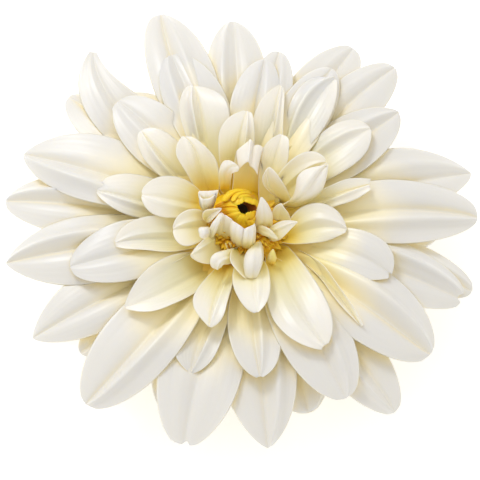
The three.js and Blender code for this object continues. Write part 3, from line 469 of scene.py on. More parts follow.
# Closed centre: an egg of folded florets with a mouth in its top. The profiles are turned round the
# mouth's axis, and lean over to it from the egg's middle within the lean height.
EGG_CENTRE = np.array([-1.7, 1.6, 27.0])
EGG_RADII = np.array([6.7, 6.7, 7.6])
MOUTH_CENTRE = (1.3, 0.6)
LEAN_HEIGHT = 7.5
EGG_PROFILE = [
    (0, 25.3), (5.8, 25.3), (6.1, 28), (5.4, 30.4), (4.4, 31.5), (3.7, 31.4), (3.0, 30.2), (1.6, 29.2),
    (0, 28.8),
]
MOUTH_PROFILE = [
    (0, 28.9), (1.7, 29.3), (3.1, 30.4), (3.8, 31.5), (3.5, 31.6), (2.8, 30.7), (1.4, 29.7), (0, 29.4),
]
THROAT_CENTRE = (0.2, 0.3)
THROAT_PROFILE = [(0, 29.5), (1.6, 29.7), (2.4, 30.6), (2.5, 31.1), (2.2, 31.0), (1.2, 30.2), (0, 30.0)]

# Short florets in the gaps before the egg, in rows between two azimuths: how many, where they start
# and end as [radius, height], and how wide they are
HEART_ROWS = [
    (24, (6.8, 24.2), (8.6, 28.0), 1.5),
    (26, (7.6, 24.0), (10.4, 26.8), 1.6),
    (28, (8.6, 23.4), (12.0, 25.6), 1.8),
    (30, (9.6, 22.6), (13.4, 24.0), 2.0),
    (32, (10.6, 21.2), (14.4, 22.2), 2.2),
]
HEART_AZIMUTHS = (188, 405)

# The florets' hoods, as sketches whose third number is how far they stand off the egg, in mm
HOODS = [
    Sketch(
        "left flank, top",
        [(216, 205, -0.6), (220, 202, 0.2), (229, 199, 0.3), (237, 204, 0.2)],
        [(216, 208, -0.6), (221, 204, 0.5), (230, 202, 0.6), (238, 206, 0.3)],
        [(217, 212, -0.6), (223, 208, 0.2), (232, 206, 0.3), (238, 208, 0.1)],
        jag=0.05,
    ),
    Sketch(
        "left flank, middle",
        [(217, 210, -0.6), (223, 207, 0.1), (231, 206, 0.2), (239, 208, 0.2)],
        [(219, 214, -0.6), (225, 210, 0.5), (233, 209, 0.6), (240, 210.5, 0.3)],
        [(222, 218, -0.6), (227, 214, 0.1), (234, 213, 0.2), (241, 212.5, 0.1)],
        jag=0.08,
    ),
    Sketch(
        "left flank, bottom",
        [(222, 216, -0.6), (228, 213, 0.2), (235, 212, 0.4), (240, 211, 0.3)],
        [(227, 223, -0.6), (231, 217, 0.6), (237, 215, 0.9), (243, 213, 0.5)],
        [(233, 228, -0.6), (236, 220, 0.2), (241, 217, 0.4), (246, 214.5, 0.3)],
        0.2, 0.10,
    ),
    Sketch(
        "front, left",
        [(231, 226, -0.5), (233, 221, 0.5), (236, 217, 0.7), (241, 214, 0.5)],
        [(238, 231, -0.5), (239, 223, 1.0), (242, 218, 1.2), (246.5, 215, 0.8)],
        [(246, 232, -0.5), (246, 225, 0.5), (247, 220, 0.7), (250, 216, 0.6)],
        0.3, 0.10,
    ),
    Sketch(
        "front, right",
        [(246, 232, -0.5), (246, 226, 0.6), (245, 222, 0.9), (246, 219.5, 0.8)],
        [(251, 231, -0.5), (251, 225, 1.0), (250, 222, 1.2), (249, 220, 0.9)],
        [(256, 228, -0.5), (256, 223, 0.6), (255, 220, 0.9), (252, 219.5, 0.8)],
        0.35, 0.06,
    ),
    Sketch(
        "mouth, front",
        [(246, 226, -0.4), (244, 220, 0.3), (244, 216, 0.6), (245.5, 213.5, 0.3)],
        [(252, 225, -0.4), (250.5, 219, 0.5), (250.5, 214, 0.9), (250.5, 211, 0.4)],
        [(258, 221, -0.4), (257.5, 217, 0.3), (257, 213, 0.6), (256.5, 211, 0.3)],
        0.35, 0.10,
    ),
    Sketch(
        "right flank",
        [(257, 216, -0.5), (256, 213, 0.2), (256, 211, 0.4), (255.5, 209.5, 0.2)],
        [(259, 214, -0.5), (258, 211, 0.5), (257.5, 209, 0.6), (257, 207.5, 0.3)],
        [(259.5, 210, -0.5), (259.5, 207, 0.2), (258.5, 205.5, 0.4), (257.5, 205.5, 0.2)],
        0.2,
    ),
    Sketch(
        "mouth, back left",
        [(230, 198, -0.4), (230, 201, 0.2), (233, 204, 0.4), (236.5, 206.8, 0.2)],
        [(238, 194, -0.4), (239, 198, 0.5), (239.5, 201, 0.7), (240.5, 204.5, 0.3)],
        [(248, 194, -0.4), (247, 197, 0.2), (245.5, 199.5, 0.4), (245, 202, 0.2)],
        0.3, 0.06,
    ),
    Sketch(
        "mouth, back right",
        [(243, 195, -0.4), (243, 198, 0.2), (244, 200.5, 0.5), (244.5, 202, 0.3)],
        [(252, 197, -0.4), (251.5, 199.5, 0.4), (251, 202, 0.7), (250.5, 204.3, 0.4)],
        [(260, 204, -0.4), (259.5, 204.5, 0.2), (258.5, 206, 0.4), (257.8, 208, 0.3)],
        0.3, 0.05,
    ),
    Sketch(
        "third hood",
        [(257, 201, -0.3), (252, 196, 0.3), (245, 195, 0.4), (239, 199.5, 0.3)],
        [(258, 202.5, -0.3), (253, 198, 0.6), (246, 197, 0.8), (240, 200.5, 0.5)],
        [(259, 204.5, -0.3), (254, 201, 0.4), (248, 199.8, 0.6), (241.5, 201, 0.4)],
    ),
    Sketch(
        "second hood",
        [(255, 197, -0.2), (249, 192, 0.4), (240, 191.5, 0.5), (236, 197, 0.5)],
        [(256, 199, -0.2), (250, 194.5, 0.8), (242, 193.5, 1.0), (237.5, 198, 0.7)],
        [(257, 201, -0.2), (251, 197.5, 0.6), (246, 196.5, 0.8), (239.5, 198.5, 0.5)],
        0.05,
    ),
    Sketch(
        "inner crescent",
        [(253, 194.5, -0.2), (244, 189, 0.9), (232, 190, 1.1), (230.5, 201, 0.8)],
        [(254, 195.5, -0.2), (245, 190.5, 1.4), (235, 191, 1.7), (232.5, 202, 1.1)],
        [(254, 197, -0.2), (246, 193, 1.1), (238, 192.5, 1.3), (235.5, 201, 0.9)],
        0.35,
    ),
    Sketch(
        "outer crescent",
        [(250, 192, -0.3), (241, 186.5, 1.0), (226, 188, 1.0), (220.5, 201.5, 0.7)],
        [(251, 192.5, -0.2), (241, 188, 1.7), (229, 190.5, 2.0), (222.5, 202, 1.3)],
        [(251, 193.5, -0.2), (243, 190, 1.3), (233, 193, 1.5), (225.5, 201.5, 1.1)],
        0.35,
    ),
]

# Stem stub and green foot of the receptacle, as [radius, height]
STUB_RADIUS = 3.4
FOOT_PROFILE = [
    (0, 0), (STUB_RADIUS, 0), (STUB_RADIUS, 1.3), (STUB_RADIUS, 2.6), (4.2, 4.4), (7.6, 5.8), (9.2, 8),
    (0, 8),
]

# Florets and bracts have their own starts and ends, so the six numbers that place a petal stay 0.
NO_PLACE = [0] * 6
HEART_FLORET = Shape(*NO_PLACE, crease=0.15, fold_root=30, fold_tip=12, widest=0.4, fall=1.2)
INNER_BRACT = Shape(*NO_PLACE, crease=0.05, fold_root=25, fold_tip=14, widest=0.5, fall=0.6)
OUTER_BRACT = Shape(*NO_PLACE, crease=0.08, fold_root=25, fold_tip=20, widest=0.55, fall=0.6)

# A ring of bracts: how many, azimuth of the first, start and end as [radius, height], how steeply they
# leave and arrive in degrees, width, shape and channel of their random draws
Ring = namedtuple("Ring", "count phase start stop pitches width shape channel")
INNER_RING = Ring(8, 10, (6.5, 6.6), (18, 6.4), (4, -4), 7.5, INNER_BRACT, 301)
OUTER_RING = Ring(5, 30, (4.0, 5.0), (14.5, 2.0), (2, -30), 6, OUTER_BRACT, 302)

# Rows along and strips across a sheet
WHORL_GRID = (44, 52)
SKETCH_GRID = (44, 44)
LOWER_GRID = (24, 20)
HOOD_GRID = (32, 28)
HEART_GRID = (12, 8)
BRACT_GRID = (24, 20)

# How wide a blade is at its root, as a share of its greatest width, and the width in mm from which a
# petal has its full ribs and waves
CLAW = 0.24
FULL_WIDTH = 18

# Flesh of a short floret and of a bract along its midrib, in mm
HEART_THICKNESS = 0.35
BRACT_THICKNESS = 0.7

# Camera, at the photograph's angle
PHOTO_SIZE = 480
CAMERA_TARGET = Vector((-0.926, 0.0, 9.51)) * MM
CAMERA_ELEVATION = math.radians(67)
CAMERA_DISTANCE = 900 * MM
CAMERA_LENS = 212.9
CAMERA_SENSOR = 36.0


# Settings


def colour_setting(name, description, default):
    return FloatVectorProperty(
        name=name, description=description, default=default, min=0, max=1, size=3, subtype="COLOR",
    )


def length_setting(name, description, default, low, high):
    return FloatProperty(
        name=name, description=description, default=default, min=low, max=high,
        unit="LENGTH", precision=5,
    )


class DahliaPetalSettings(bpy.types.PropertyGroup):
    """Size and colours of the ray petals"""

    thickness: length_setting(
        "Thickness", "Flesh of a petal along its midrib", 0.5 * MM, 0.2 * MM, 1.0 * MM,
    )
    vein_count: IntProperty(
        name="Veins", description="Number of veins from margin to margin of a petal",
        default=11, min=3, max=21,
    )
    vein_depth: length_setting(
        "Vein depth", "Height of the ribs that the veins raise", 0.018 * MM, 0.0, 0.3 * MM,
    )
    margin_wave: length_setting(
        "Margin wave", "Height of the slow wave along a petal's margins", 0.55 * MM, 0.0, 1.5 * MM,
    )
    white: colour_setting("White", "Colour of the outer petals' ends", (0.755, 0.748, 0.73))
    cream: colour_setting(
        "Cream", "Colour of the petals' middle and of the inner petals", (0.95, 0.885, 0.71),
    )
    yellow: colour_setting("Yellow", "Colour of the petals' lower part", (0.95, 0.84, 0.40))
    # Painted glow of light through the thin margins
    rim: colour_setting(
        "Rim", "Colour of the thin margins that let light through", (0.98, 0.94, 0.80),
    )
    ivory: colour_setting(
        "Ivory", "Colour of the middle and inner petals' ends", (0.925, 0.89, 0.80),
    )
    # Painted warm shade, laid where petals cover each other
    shade: colour_setting(
        "Shade", "Warm colour of the flesh where petals cover each other", (0.97, 0.84, 0.53),
    )
    gold: colour_setting("Gold", "Colour of the petals' roots", (0.90, 0.60, 0.01))
    bright: colour_setting("Bright yellow", "Colour of the small yellow petals", (0.95, 0.79, 0.12))
    # The receptacle's gold darkened into painted shade on its lower part, under the petals
    core: colour_setting(
        "Core", "Colour of the lower part of the receptacle", (0.765, 0.432, 0.005),
    )


class DahliaCentreSettings(bpy.types.PropertyGroup):
    """Size and colours of the closed centre"""

    thickness: length_setting(
        "Thickness", "Flesh of a floret along its midrib", 0.5 * MM, 0.2 * MM, 1.0 * MM,
    )
    yellow: colour_setting("Yellow", "Colour of the florets' lips", (0.97, 0.64, 0.015))
    amber: colour_setting("Amber", "Colour of the florets' feet", (0.74, 0.34, 0.005))
    strand: colour_setting(
        "Strand", "Colour of the short florets' tips round the egg", (1.0, 0.68, 0.05),
    )
    # Partly the mouth walls' own brown, partly painted shade of the hollow mouth
    mouth_brown_and_shade: colour_setting("Brown", "Colour of the mouth's walls", (0.45, 0.14, 0.005))
    # A near-black sheet of painted shade at the bottom of the mouth
    throat_shade: colour_setting("Throat", "Colour at the bottom of the mouth", (0.012, 0.014, 0.003))


class DahliaCalyxSettings(bpy.types.PropertyGroup):
    """Colours of the calyx and the cut stem"""

    green: colour_setting("Green", "Colour of the outer bracts and the stem", (0.16, 0.27, 0.06))
    pale: colour_setting(
        "Pale green", "Colour of the thin inner bracts and the cut face", (0.50, 0.56, 0.24),
    )


class DahliaStageSettings(bpy.types.PropertyGroup):
    """Light of the studio"""

    key_power: FloatProperty(
        name="Key light", description="Power of the large light beyond the bloom, in watts",
        default=3.1, min=0.0, max=100.0,
    )
    fill: FloatProperty(
        name="Fill", description="Strength of the even light from all round",
        default=0.84, min=0.0, max=3.0,
    )
    key_colour: colour_setting("Key colour", "Colour of the large light", (0.98, 0.985, 1.0))
    fill_colour: colour_setting("Fill colour", "Colour of the even light", (1.0, 0.975, 0.93))
    floor: colour_setting("Floor", "Colour of the plain floor", (0.95, 0.95, 0.95))


# Mesh helpers


def hashed(index, channel):
    """A number from 0 to 1 that looks random and is the same in each run."""
    wave = math.sin(index * 127.1 + channel * 311.7) * 43758.5453
    return wave - math.floor(wave)


def drawn(seed, channel):
    """A number from -0.5 to 0.5 for one trait of the blade with this seed."""
    return hashed(97.0 * seed, channel) - 0.5


def outward(azimuth):
    return np.array([math.cos(azimuth), math.sin(azimuth), 0.0])


def direction(azimuth, pitch):
    return outward(azimuth) * math.cos(pitch) + np.array([0, 0, math.sin(pitch)])


def shape_at(level):
    """The petals' profile at a place in the family."""
    below = min(int(level), len(LEVELS) - 2)
    blend = level - below
    pairs = zip(LEVELS[below], LEVELS[below + 1])
    return Shape(*[a + (b - a) * blend for a, b in pairs])


def bezier(curve, t):
    t = t[..., None]
    s = 1 - t
    return s**3 * curve[0] + 3 * s**2 * t * curve[1] + 3 * s * t**2 * curve[2] + t**3 * curve[3]


def heading(curve, t):
    t = t[..., None]
    s = 1 - t
    run = s**2 * (curve[1] - curve[0]) + 2 * s * t * (curve[2] - curve[1])
    run = run + t**2 * (curve[3] - curve[2])
    return run / np.linalg.norm(run, axis=-1, keepdims=True)


# The relief of a sheet: depth of the crease as a share of the half width, number of veins, height of
# their ribs and of the margins' wave in mm, and the seed that its single traits are drawn from
Form = namedtuple("Form", "crease veins vein_depth wave seed")

# A mesh before it is made: vertices in mm, faces, and for each vertex its place on the blade and a
# mark on the underside
Shell = namedtuple("Shell", "vertices faces places under")

# A blade is a curved sheet along its midrib's curve, used for the outer petals, the short florets and
# the bracts. Its side hint is roughly the way across it.
Blade = namedtuple("Blade", "curve side_hint width roll shape tip lean form thickness grid")


# The midrib's crease and the soft ridge beside it: widths as shares of the half width, and height of
# the highest ridge
CREASE_WIDTH = 0.16
RIDGE_WIDTH = 0.18
RIDGE_HEIGHT = 0.5


def half_width_share(across, along, blade):
    """Half width at each place, fuller towards the tip on the side that the blade leans to."""
    shape = blade.shape
    rise = np.sin(np.clip(along / shape.widest, 0, 1) * math.pi / 2) ** 1.2
    rest = np.clip((along - shape.widest) / (1 - shape.widest), 0, 1)
    acute = shape.fall * blade.tip.acute * (1 - 0.5 * blade.lean * across)
    closing = (1 - rest**2) ** acute
    return np.where(along < shape.widest, CLAW + (1 - CLAW) * rise, closing)


def fold_height(across, along, half, form):
    """The midrib's crease, and one soft ridge along the side that the seed draws."""
    arm = np.sqrt(across**2 + 0.0006)
    opening = np.sin(np.clip(1.25 * along, 0, 1) * math.pi / 2)
    pillow = (1 - np.exp(-arm / CREASE_WIDTH)) * (1 - 0.8 * arm**2)
    valley = (1 + 0.9 * drawn(form.seed, 2)) * half * form.crease * opening * pillow
    side = drawn(form.seed, 3)
    ridge_at = math.copysign(0.32 + 0.3 * abs(side), side)
    height = RIDGE_HEIGHT * abs(drawn(form.seed, 4))
    return valley + height * half * opening * np.exp(-(((across - ridge_at) / RIDGE_WIDTH) ** 2))


def rib_height(across, along, form):
    """The ribs of the veins, in two widths that drift along the sheet and end before its tip."""
    wander = 0.9 * np.sin(4.0 * along + 6.28 * form.seed)
    ribs = np.cos(math.pi * form.veins * across + wander)
    ribs += np.cos(0.37 * math.pi * form.veins * across - 2 * wander + 9.0 * form.seed)
    fading = np.sin(math.pi * np.clip(1.05 * along, 0, 1)) ** 0.6
    return form.vein_depth * ribs * fading * (1 - across**6)


def wave_height(across, along, form):
    """The wave of the margins, out of step with each other, and a slow swell of the whole sheet."""
    side = np.where(across > 0, 0.0, 2.1)
    swing = np.sin((7.5 + 2.0 * form.seed) * along + side + 6.28 * form.seed)
    wave = form.wave * np.abs(across) ** 2.5 * swing * np.clip(2.2 * along - 0.3, 0, 1)
    swell = np.sin(2.6 * across + 9.0 * form.seed) * np.sin(math.pi * along)
    return wave + 0.6 * form.wave * swell


def relief(across, along, half, form):
    """How far a sheet stands off its smooth surface. Half is the half width at each place."""
    folds = fold_height(across, along, half, form)
    return folds + rib_height(across, along, form) + wave_height(across, along, form)


def strip_places(strips):
    """Places across a sheet from -1 to 1, closer together at the margins."""
    strip = np.linspace(-1, 1, strips + 1)
    return strip * (1.12 - 0.12 * strip**2)


def row_places(rows, closeness):
    """Places along a sheet from 0 to 1, closer together at the end."""
    return 1 - (1 - np.arange(rows + 1) / rows) ** closeness


def side_way(blade, tangent, along):
    """Which way is across the blade at each place, turned about the midrib by the blade's roll."""
    hint = np.broadcast_to(blade.side_hint, tangent.shape)
    side = hint - (hint * tangent).sum(-1, keepdims=True) * tangent
    side /= np.linalg.norm(side, axis=-1, keepdims=True)
    turn = (math.radians(blade.roll) * (0.25 + 0.75 * along))[..., None]
    return side * np.cos(turn) + np.cross(tangent, side) * np.sin(turn)


def blade_grid(blade):
    """Mid-surface points, normals and places of a blade, by rows along it and strips across it."""
    rows, strips = blade.grid
    across = strip_places(strips)
    tip = blade.tip
    notch = tip.notch * np.exp(-(((across - tip.at) / tip.spread) ** 2))
    end = tip.end - notch - 0.012 * across**4
    along = row_places(rows, 1.5)[:, None] * end[None, :]
    across = np.broadcast_to(across, along.shape)

    origin = bezier(blade.curve, along)
    tangent = heading(blade.curve, along)
    side = side_way(blade, tangent, along)
    normal = np.cross(tangent, side)

    shape = blade.shape
    half = 0.5 * blade.width * half_width_share(across, along, blade)
    fold_tip = shape.fold_tip + 10 * drawn(blade.form.seed, 1)
    fold = np.radians(fold_tip + (1.9 * shape.fold_root - fold_tip) * (1 - along) ** 2)
    sideways = half * np.sin(fold * across) / fold
    rolled = half * (1 - np.cos(fold * across)) / fold
    lift = rolled + relief(across - 0.35 * blade.lean * (1 - across**2), along, half, blade.form)
    points = origin + side * sideways[..., None] + normal * lift[..., None]
    places = np.stack([across, along, np.full_like(along, blade.form.seed)], axis=-1)
    return points, normal, places


def blade_shell(blade):
    return sheet_shell(*blade_grid(blade), blade.thickness)


def sheet_shell(points, normal, places, thickness):
    """A closed sheet of petal flesh whose margins and end are round."""
    rows, strips = points.shape[0] - 1, points.shape[1] - 1
    across = places[0, :, 0]
    margins = np.sqrt(np.clip(1 - across**4, 0, 1))
    ending = np.sqrt(np.clip(1 - (np.arange(rows + 1) / rows) ** 14, 0, 1))
    flesh = (0.5 * thickness * (margins[None, :] * ending[:, None]))[..., None]
    upper = np.arange((rows + 1) * (strips + 1)).reshape(rows + 1, strips + 1)
    lower = upper.copy()
    inner = lower[:rows, 1:strips]
    lower[:rows, 1:strips] = upper.size + np.arange(inner.size).reshape(inner.shape)
    vertices = np.concatenate([
        (points + normal * flesh).reshape(-1, 3),
        (points - normal * flesh)[:rows, 1:strips].reshape(-1, 3),
    ])
    places = np.concatenate([places.reshape(-1, 3), places[:rows, 1:strips].reshape(-1, 3)])
    under = np.concatenate([np.zeros(upper.size), np.ones(inner.size)])
    top = np.stack([upper[:-1, :-1], upper[1:, :-1], upper[1:, 1:], upper[:-1, 1:]], axis=-1)
    base = np.stack([lower[:-1, :-1], lower[:-1, 1:], lower[1:, 1:], lower[1:, :-1]], axis=-1)
    faces = np.concatenate([top.reshape(-1, 4), base.reshape(-1, 4)]).tolist()
    faces.append(upper[0].tolist() + lower[0, 1:-1][::-1].tolist())
    return Shell(vertices, faces, places, under)


def seen_ray(column, line):
    """Where the camera stands, in mm, and the way it looks through a pixel of the photograph."""
    back = np.array([0, -math.cos(CAMERA_ELEVATION), math.sin(CAMERA_ELEVATION)])
    up = np.array([0, math.sin(CAMERA_ELEVATION), math.cos(CAMERA_ELEVATION)])
    slope = CAMERA_SENSOR / CAMERA_LENS / PHOTO_SIZE
    stand = np.array(CAMERA_TARGET) / MM + back * CAMERA_DISTANCE / MM
    way = np.array([1.0, 0, 0]) * (column - PHOTO_SIZE / 2) * slope
    way += up * (PHOTO_SIZE / 2 - line) * slope - back
    return stand, way


def seen_at(column, line, height):
    """The point at a height in mm that the camera sees at a pixel of the photograph."""
    stand, way = seen_ray(column, line)
    return stand + way * (height - stand[2]) / way[2]


def seen_on_egg(column, line, lift):
    """The point seen at a pixel of the photograph on the egg of the centre, grown by a lift in mm."""
    stand, way = seen_ray(column, line)
    radii = EGG_RADII + lift
    start = (stand - EGG_CENTRE) / radii
    step = way / radii
    a, b, c = step @ step, step @ start, start @ start - 1
    return stand + way * (-b - math.sqrt(max(0.0, b * b - a * c))) / a


def facing_down(curves):
    """Whether a sheet spanned by two margins and a midrib would lie face down."""
    first, midrib, second = [np.array(curve) for curve in curves]
    along = midrib[3] - midrib[0]
    across = second[1] + second[2] - first[1] - first[2]
    return np.cross(along, across)[2] < 0


def root_rows(points):
    """Three rows that carry a sheet on into the receptacle, straight inward of where it starts."""
    radius = np.linalg.norm(points[:, :2], axis=-1)
    inner = points * np.minimum(1, ROOT_RADIUS / radius)[:, None]
    inner[:, 2] = np.clip(points[:, 2] - ROOT_DROP, *ROOT_HEIGHTS)
    return np.stack([inner + (points - inner) * share for share in (0, 0.35, 0.7)])


def sketch_shell(sketch, seen, form, grid, thickness, rooted):
    """A closed sheet spanned by a left margin, a midrib and a right margin.

    Seen is the function that places a point, and a rooted sheet is carried on into the receptacle.
    """
    curves = [[seen(*point) for point in curve] for curve in (sketch.left, sketch.midrib, sketch.right)]
    if facing_down(curves):
        curves.reverse()
    rows, strips = grid
    across = strip_places(strips)
    comb = 0.5 + 0.5 * np.cos(9 * across + 6.28 * form.seed + 2 * np.sin(5 * across))
    along = row_places(rows, 1.4)[:, None] * (0.985 - sketch.jag * comb)[None, :]
    across = np.broadcast_to(across, along.shape)
    left, midrib, right = [bezier(curve, along) for curve in curves]
    points = left * (across * (across - 1) / 2)[..., None] + midrib * (1 - across**2)[..., None]
    points += right * (across * (across + 1) / 2)[..., None]
    normal = np.cross(np.gradient(points, axis=0), np.gradient(points, axis=1))
    normal /= np.linalg.norm(normal, axis=-1, keepdims=True)
    half = 0.5 * np.linalg.norm(right - left, axis=-1)
    points = points + normal * relief(across, along, half, form)[..., None]
    golden = sketch.pale + (1 - sketch.pale) * along
    places = np.stack([across, golden, np.full_like(along, form.seed)], axis=-1)
    if rooted:
        points = np.concatenate([root_rows(points[0]), points])
        normal = np.concatenate([np.repeat(normal[:1], 3, axis=0), normal])
        places = np.concatenate([np.repeat(places[:1], 3, axis=0), places])
    return sheet_shell(points, normal, places, thickness)


def join(shells):
    """One shell from several."""
    faces = []
    start = 0
    for shell in shells:
        faces.extend([[start + index for index in face] for face in shell.faces])
        start += len(shell.vertices)
    return Shell(
        np.concatenate([shell.vertices for shell in shells]),
        faces,
        np.concatenate([shell.places for shell in shells]),
        np.concatenate([shell.under for shell in shells]),
    )


def turned(profile, sides, centre=(0, 0)):
    """A closed body turned round an upright axis, from [radius, height] pairs from axis to axis."""
    rings = profile[1:-1]
    azimuths = np.linspace(0, 2 * math.pi, sides, endpoint=False)
    vertices = [
        [centre[0] + radius * math.cos(a), centre[1] + radius * math.sin(a), height]
        for radius, height in rings
        for a in azimuths
    ]
    foot = len(vertices)
    top = foot + 1
    vertices.append([*centre, profile[0][1]])
    vertices.append([*centre, profile[-1][1]])
    last = (len(rings) - 1) * sides
    faces = []
    for i in range(0, last, sides):
        for j in range(sides):
            k = (j + 1) % sides
            faces.append([i + j, i + k, i + sides + k, i + sides + j])
    for j in range(sides):
        k = (j + 1) % sides
        faces.append([foot, k, j])
        faces.append([top, last + j, last + k])
    vertices = np.array(vertices)
    low, high = vertices[:, 2].min(), vertices[:, 2].max()
    places = np.zeros_like(vertices)
    places[:, 1] = (vertices[:, 2] - low) / (high - low)
    return Shell(vertices, faces, places, np.zeros(len(vertices)))


def smooth_profile(profile, steps):
    """A smooth curve through the [radius, height] pairs between the two ends on the axis."""
    points = [np.array(p, float) for p in profile[1:-1]]
    points = [2 * points[0] - points[1], *points, 2 * points[-1] - points[-2]]
    fine = []
    for a, b, c, d in zip(points, points[1:], points[2:], points[3:]):
        for i in range(steps):
            t = i / steps
            square = (2 * a - 5 * b + 4 * c - d) * t**2
            cube = (3 * b - a - 3 * c + d) * t**3
            fine.append(0.5 * (2 * b + (c - a) * t + square + cube))
    fine.append(points[-2])
    return [profile[0], *[tuple(p) for p in fine], profile[-1]]


def piece(name, shell, material, node):
    """Makes the object from a shell, hangs it on the body that it rides on, and hides the imported part
    that it stands for.
    """
    mesh = bpy.data.meshes.new(name)
    mesh.from_pydata((shell.vertices * MM).tolist(), [], shell.faces)
    mesh.polygons.foreach_set("use_smooth", [True] * len(mesh.polygons))
    place = mesh.attributes.new("place", "FLOAT_VECTOR", "POINT")
    place.data.foreach_set("vector", shell.places.astype(np.float32).ravel())
    underside = mesh.attributes.new("underside", "FLOAT", "POINT")
    underside.data.foreach_set("value", shell.under.astype(np.float32))
    mesh.materials.append(material)
    mesh.validate()
    made = bpy.data.objects.new(name, mesh)
    bpy.context.scene.collection.objects.link(made)
    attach(made, BODY)
    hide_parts(node)


# Shader helpers


def add(tree, kind, **settings):
    made = tree.nodes.new(kind)
    for name, value in settings.items():
        setattr(made, name, value)
    return made


def feed(tree, socket, value):
    """Links an output to a socket, or sets the socket's own value."""
    if isinstance(value, bpy.types.NodeSocket):
        tree.links.new(value, socket)
    else:
        socket.default_value = value


def math_node(tree, operation, *values):
    made = add(tree, "ShaderNodeMath", operation=operation)
    for socket, value in zip(made.inputs, values):
        feed(tree, socket, value)
    return made.outputs[0]


def times(tree, first, second):
    return math_node(tree, "MULTIPLY", first, second)


def times_plus(tree, first, second, third):
    return math_node(tree, "MULTIPLY_ADD", first, second, third)


def span(tree, value, low, high, to_low=0.0, to_high=1.0):
    """Smoothly carries a value from one range to another."""
    made = add(tree, "ShaderNodeMapRange", interpolation_type="SMOOTHSTEP", clamp=True)
    for socket, given in zip(made.inputs, (value, low, high, to_low, to_high)):
        feed(tree, socket, given)
    return made.outputs[0]


def blend_colours(tree, share, first, second):
    made = add(tree, "ShaderNodeMix", data_type="RGBA")
    feed(tree, made.inputs[0], share)
    feed(tree, made.inputs[6], first)
    feed(tree, made.inputs[7], second)
    return made.outputs[2]


def tint(tree, colour, mask, share, other):
    """Takes a share of another colour where the mask is 1."""
    return blend_colours(tree, times(tree, mask, share), colour, rgba(other))


def colour_ramp(tree, value, stops, colours):
    made = add(tree, "ShaderNodeValToRGB")
    made.color_ramp.interpolation = "EASE"
    elements = made.color_ramp.elements
    while len(elements) < len(stops):
        elements.new(0.5)
    for element, stop, colour in zip(elements, stops, colours):
        element.position = stop
        element.color = rgba(colour)
    feed(tree, made.inputs[0], value)
    return made.outputs[0]


def new_group(name, inputs, outputs):
    group = bpy.data.node_groups.new(name, "ShaderNodeTree")
    for label, kind, default in inputs:
        socket = group.interface.new_socket(label, in_out="INPUT", socket_type=kind)
        socket.default_value = default
    for label, kind in outputs:
        group.interface.new_socket(label, in_out="OUTPUT", socket_type=kind)
    entry = group.nodes.new("NodeGroupInput")
    leave = group.nodes.new("NodeGroupOutput")
    return group, entry.outputs, leave.inputs


def use_group(tree, name, **values):
    made = add(tree, "ShaderNodeGroup", node_tree=bpy.data.node_groups[name])
    for label, value in values.items():
        feed(tree, made.inputs[label], value)
    return made.outputs


def rgba(colour):
    return (*colour, 1.0)


def scaled(colour, scale):
    return [min(1.0, part * scale) for part in colour]


# Effects that several materials share


def make_place_group():
    """Where a point lies on its blade: across, out from the midrib, along, which blade, which face."""
    group, _, leave = new_group(
        "Place on blade", [],
        [("Across", "NodeSocketFloat"), ("Out", "NodeSocketFloat"), ("Along", "NodeSocketFloat"),
         ("Blade", "NodeSocketFloat"), ("Underside", "NodeSocketFloat")],
    )
    place = add(group, "ShaderNodeAttribute", attribute_name="place")
    parts = add(group, "ShaderNodeSeparateXYZ")
    group.links.new(place.outputs["Vector"], parts.inputs[0])
    face = add(group, "ShaderNodeAttribute", attribute_name="underside")
    feed(group, leave["Across"], parts.outputs[0])
    feed(group, leave["Out"], math_node(group, "ABSOLUTE", parts.outputs[0]))
    feed(group, leave["Along"], parts.outputs[1])
    feed(group, leave["Blade"], parts.outputs[2])
    feed(group, leave["Underside"], face.outputs["Fac"])


def make_vein_group():
    """Coarse and fine lines that run along a blade, as a mask and a height."""
    group, entry, leave = new_group(
        "Blade veins", [("Count", "NodeSocketFloat", 11.0)],
        [("Mask", "NodeSocketFloat"), ("Height", "NodeSocketFloat")],
    )
    place = use_group(group, "Place on blade")
    phase = times_plus(group, place["Blade"], 6.28, times(group, place["Along"], 4.0))
    wander = times(group, math_node(group, "SINE", phase), 0.9)
    turns = times(group, times(group, place["Across"], entry["Count"]), math.pi)
    coarse = math_node(group, "COSINE", math_node(group, "ADD", turns, wander))
    fine = math_node(group, "COSINE", times_plus(group, turns, 3.0, wander))
    both = times_plus(group, fine, 0.5, coarse)
    feed(group, leave["Mask"], span(group, both, 0.3, 1.4))
    feed(group, leave["Height"], times_plus(group, both, 0.33, 0.5))


def make_mottle_group():
    """Slow, soft unevenness of a colour or a gloss."""
    group, entry, leave = new_group(
        "Soft mottling", [("Scale", "NodeSocketFloat", 60.0)], [("Mask", "NodeSocketFloat")],
    )
    coordinates = add(group, "ShaderNodeTexCoord")
    noise = add(group, "ShaderNodeTexNoise")
    noise.inputs["Detail"].default_value = 3.0
    group.links.new(coordinates.outputs["Object"], noise.inputs["Vector"])
    feed(group, noise.inputs["Scale"], entry["Scale"])
    feed(group, leave["Mask"], span(group, noise.outputs["Fac"], 0.35, 0.65))


def make_cell_group():
    """The fine cells of a satin plant skin, drawn out along the blade."""
    group, entry, leave = new_group(
        "Skin cells", [("Across", "NodeSocketFloat", 60.0), ("Along", "NodeSocketFloat", 90.0)],
        [("Height", "NodeSocketFloat")],
    )
    place = use_group(group, "Place on blade")
    where = add(group, "ShaderNodeCombineXYZ")
    feed(group, where.inputs[0], times(group, place["Across"], entry["Across"]))
    feed(group, where.inputs[1], times(group, place["Along"], entry["Along"]))
    feed(group, where.inputs[2], times(group, place["Blade"], 50.0))
    noise = add(group, "ShaderNodeTexNoise")
    noise.inputs["Scale"].default_value = 1.0
    noise.inputs["Detail"].default_value = 2.0
    group.links.new(where.outputs[0], noise.inputs["Vector"])
    feed(group, leave["Height"], noise.outputs["Fac"])


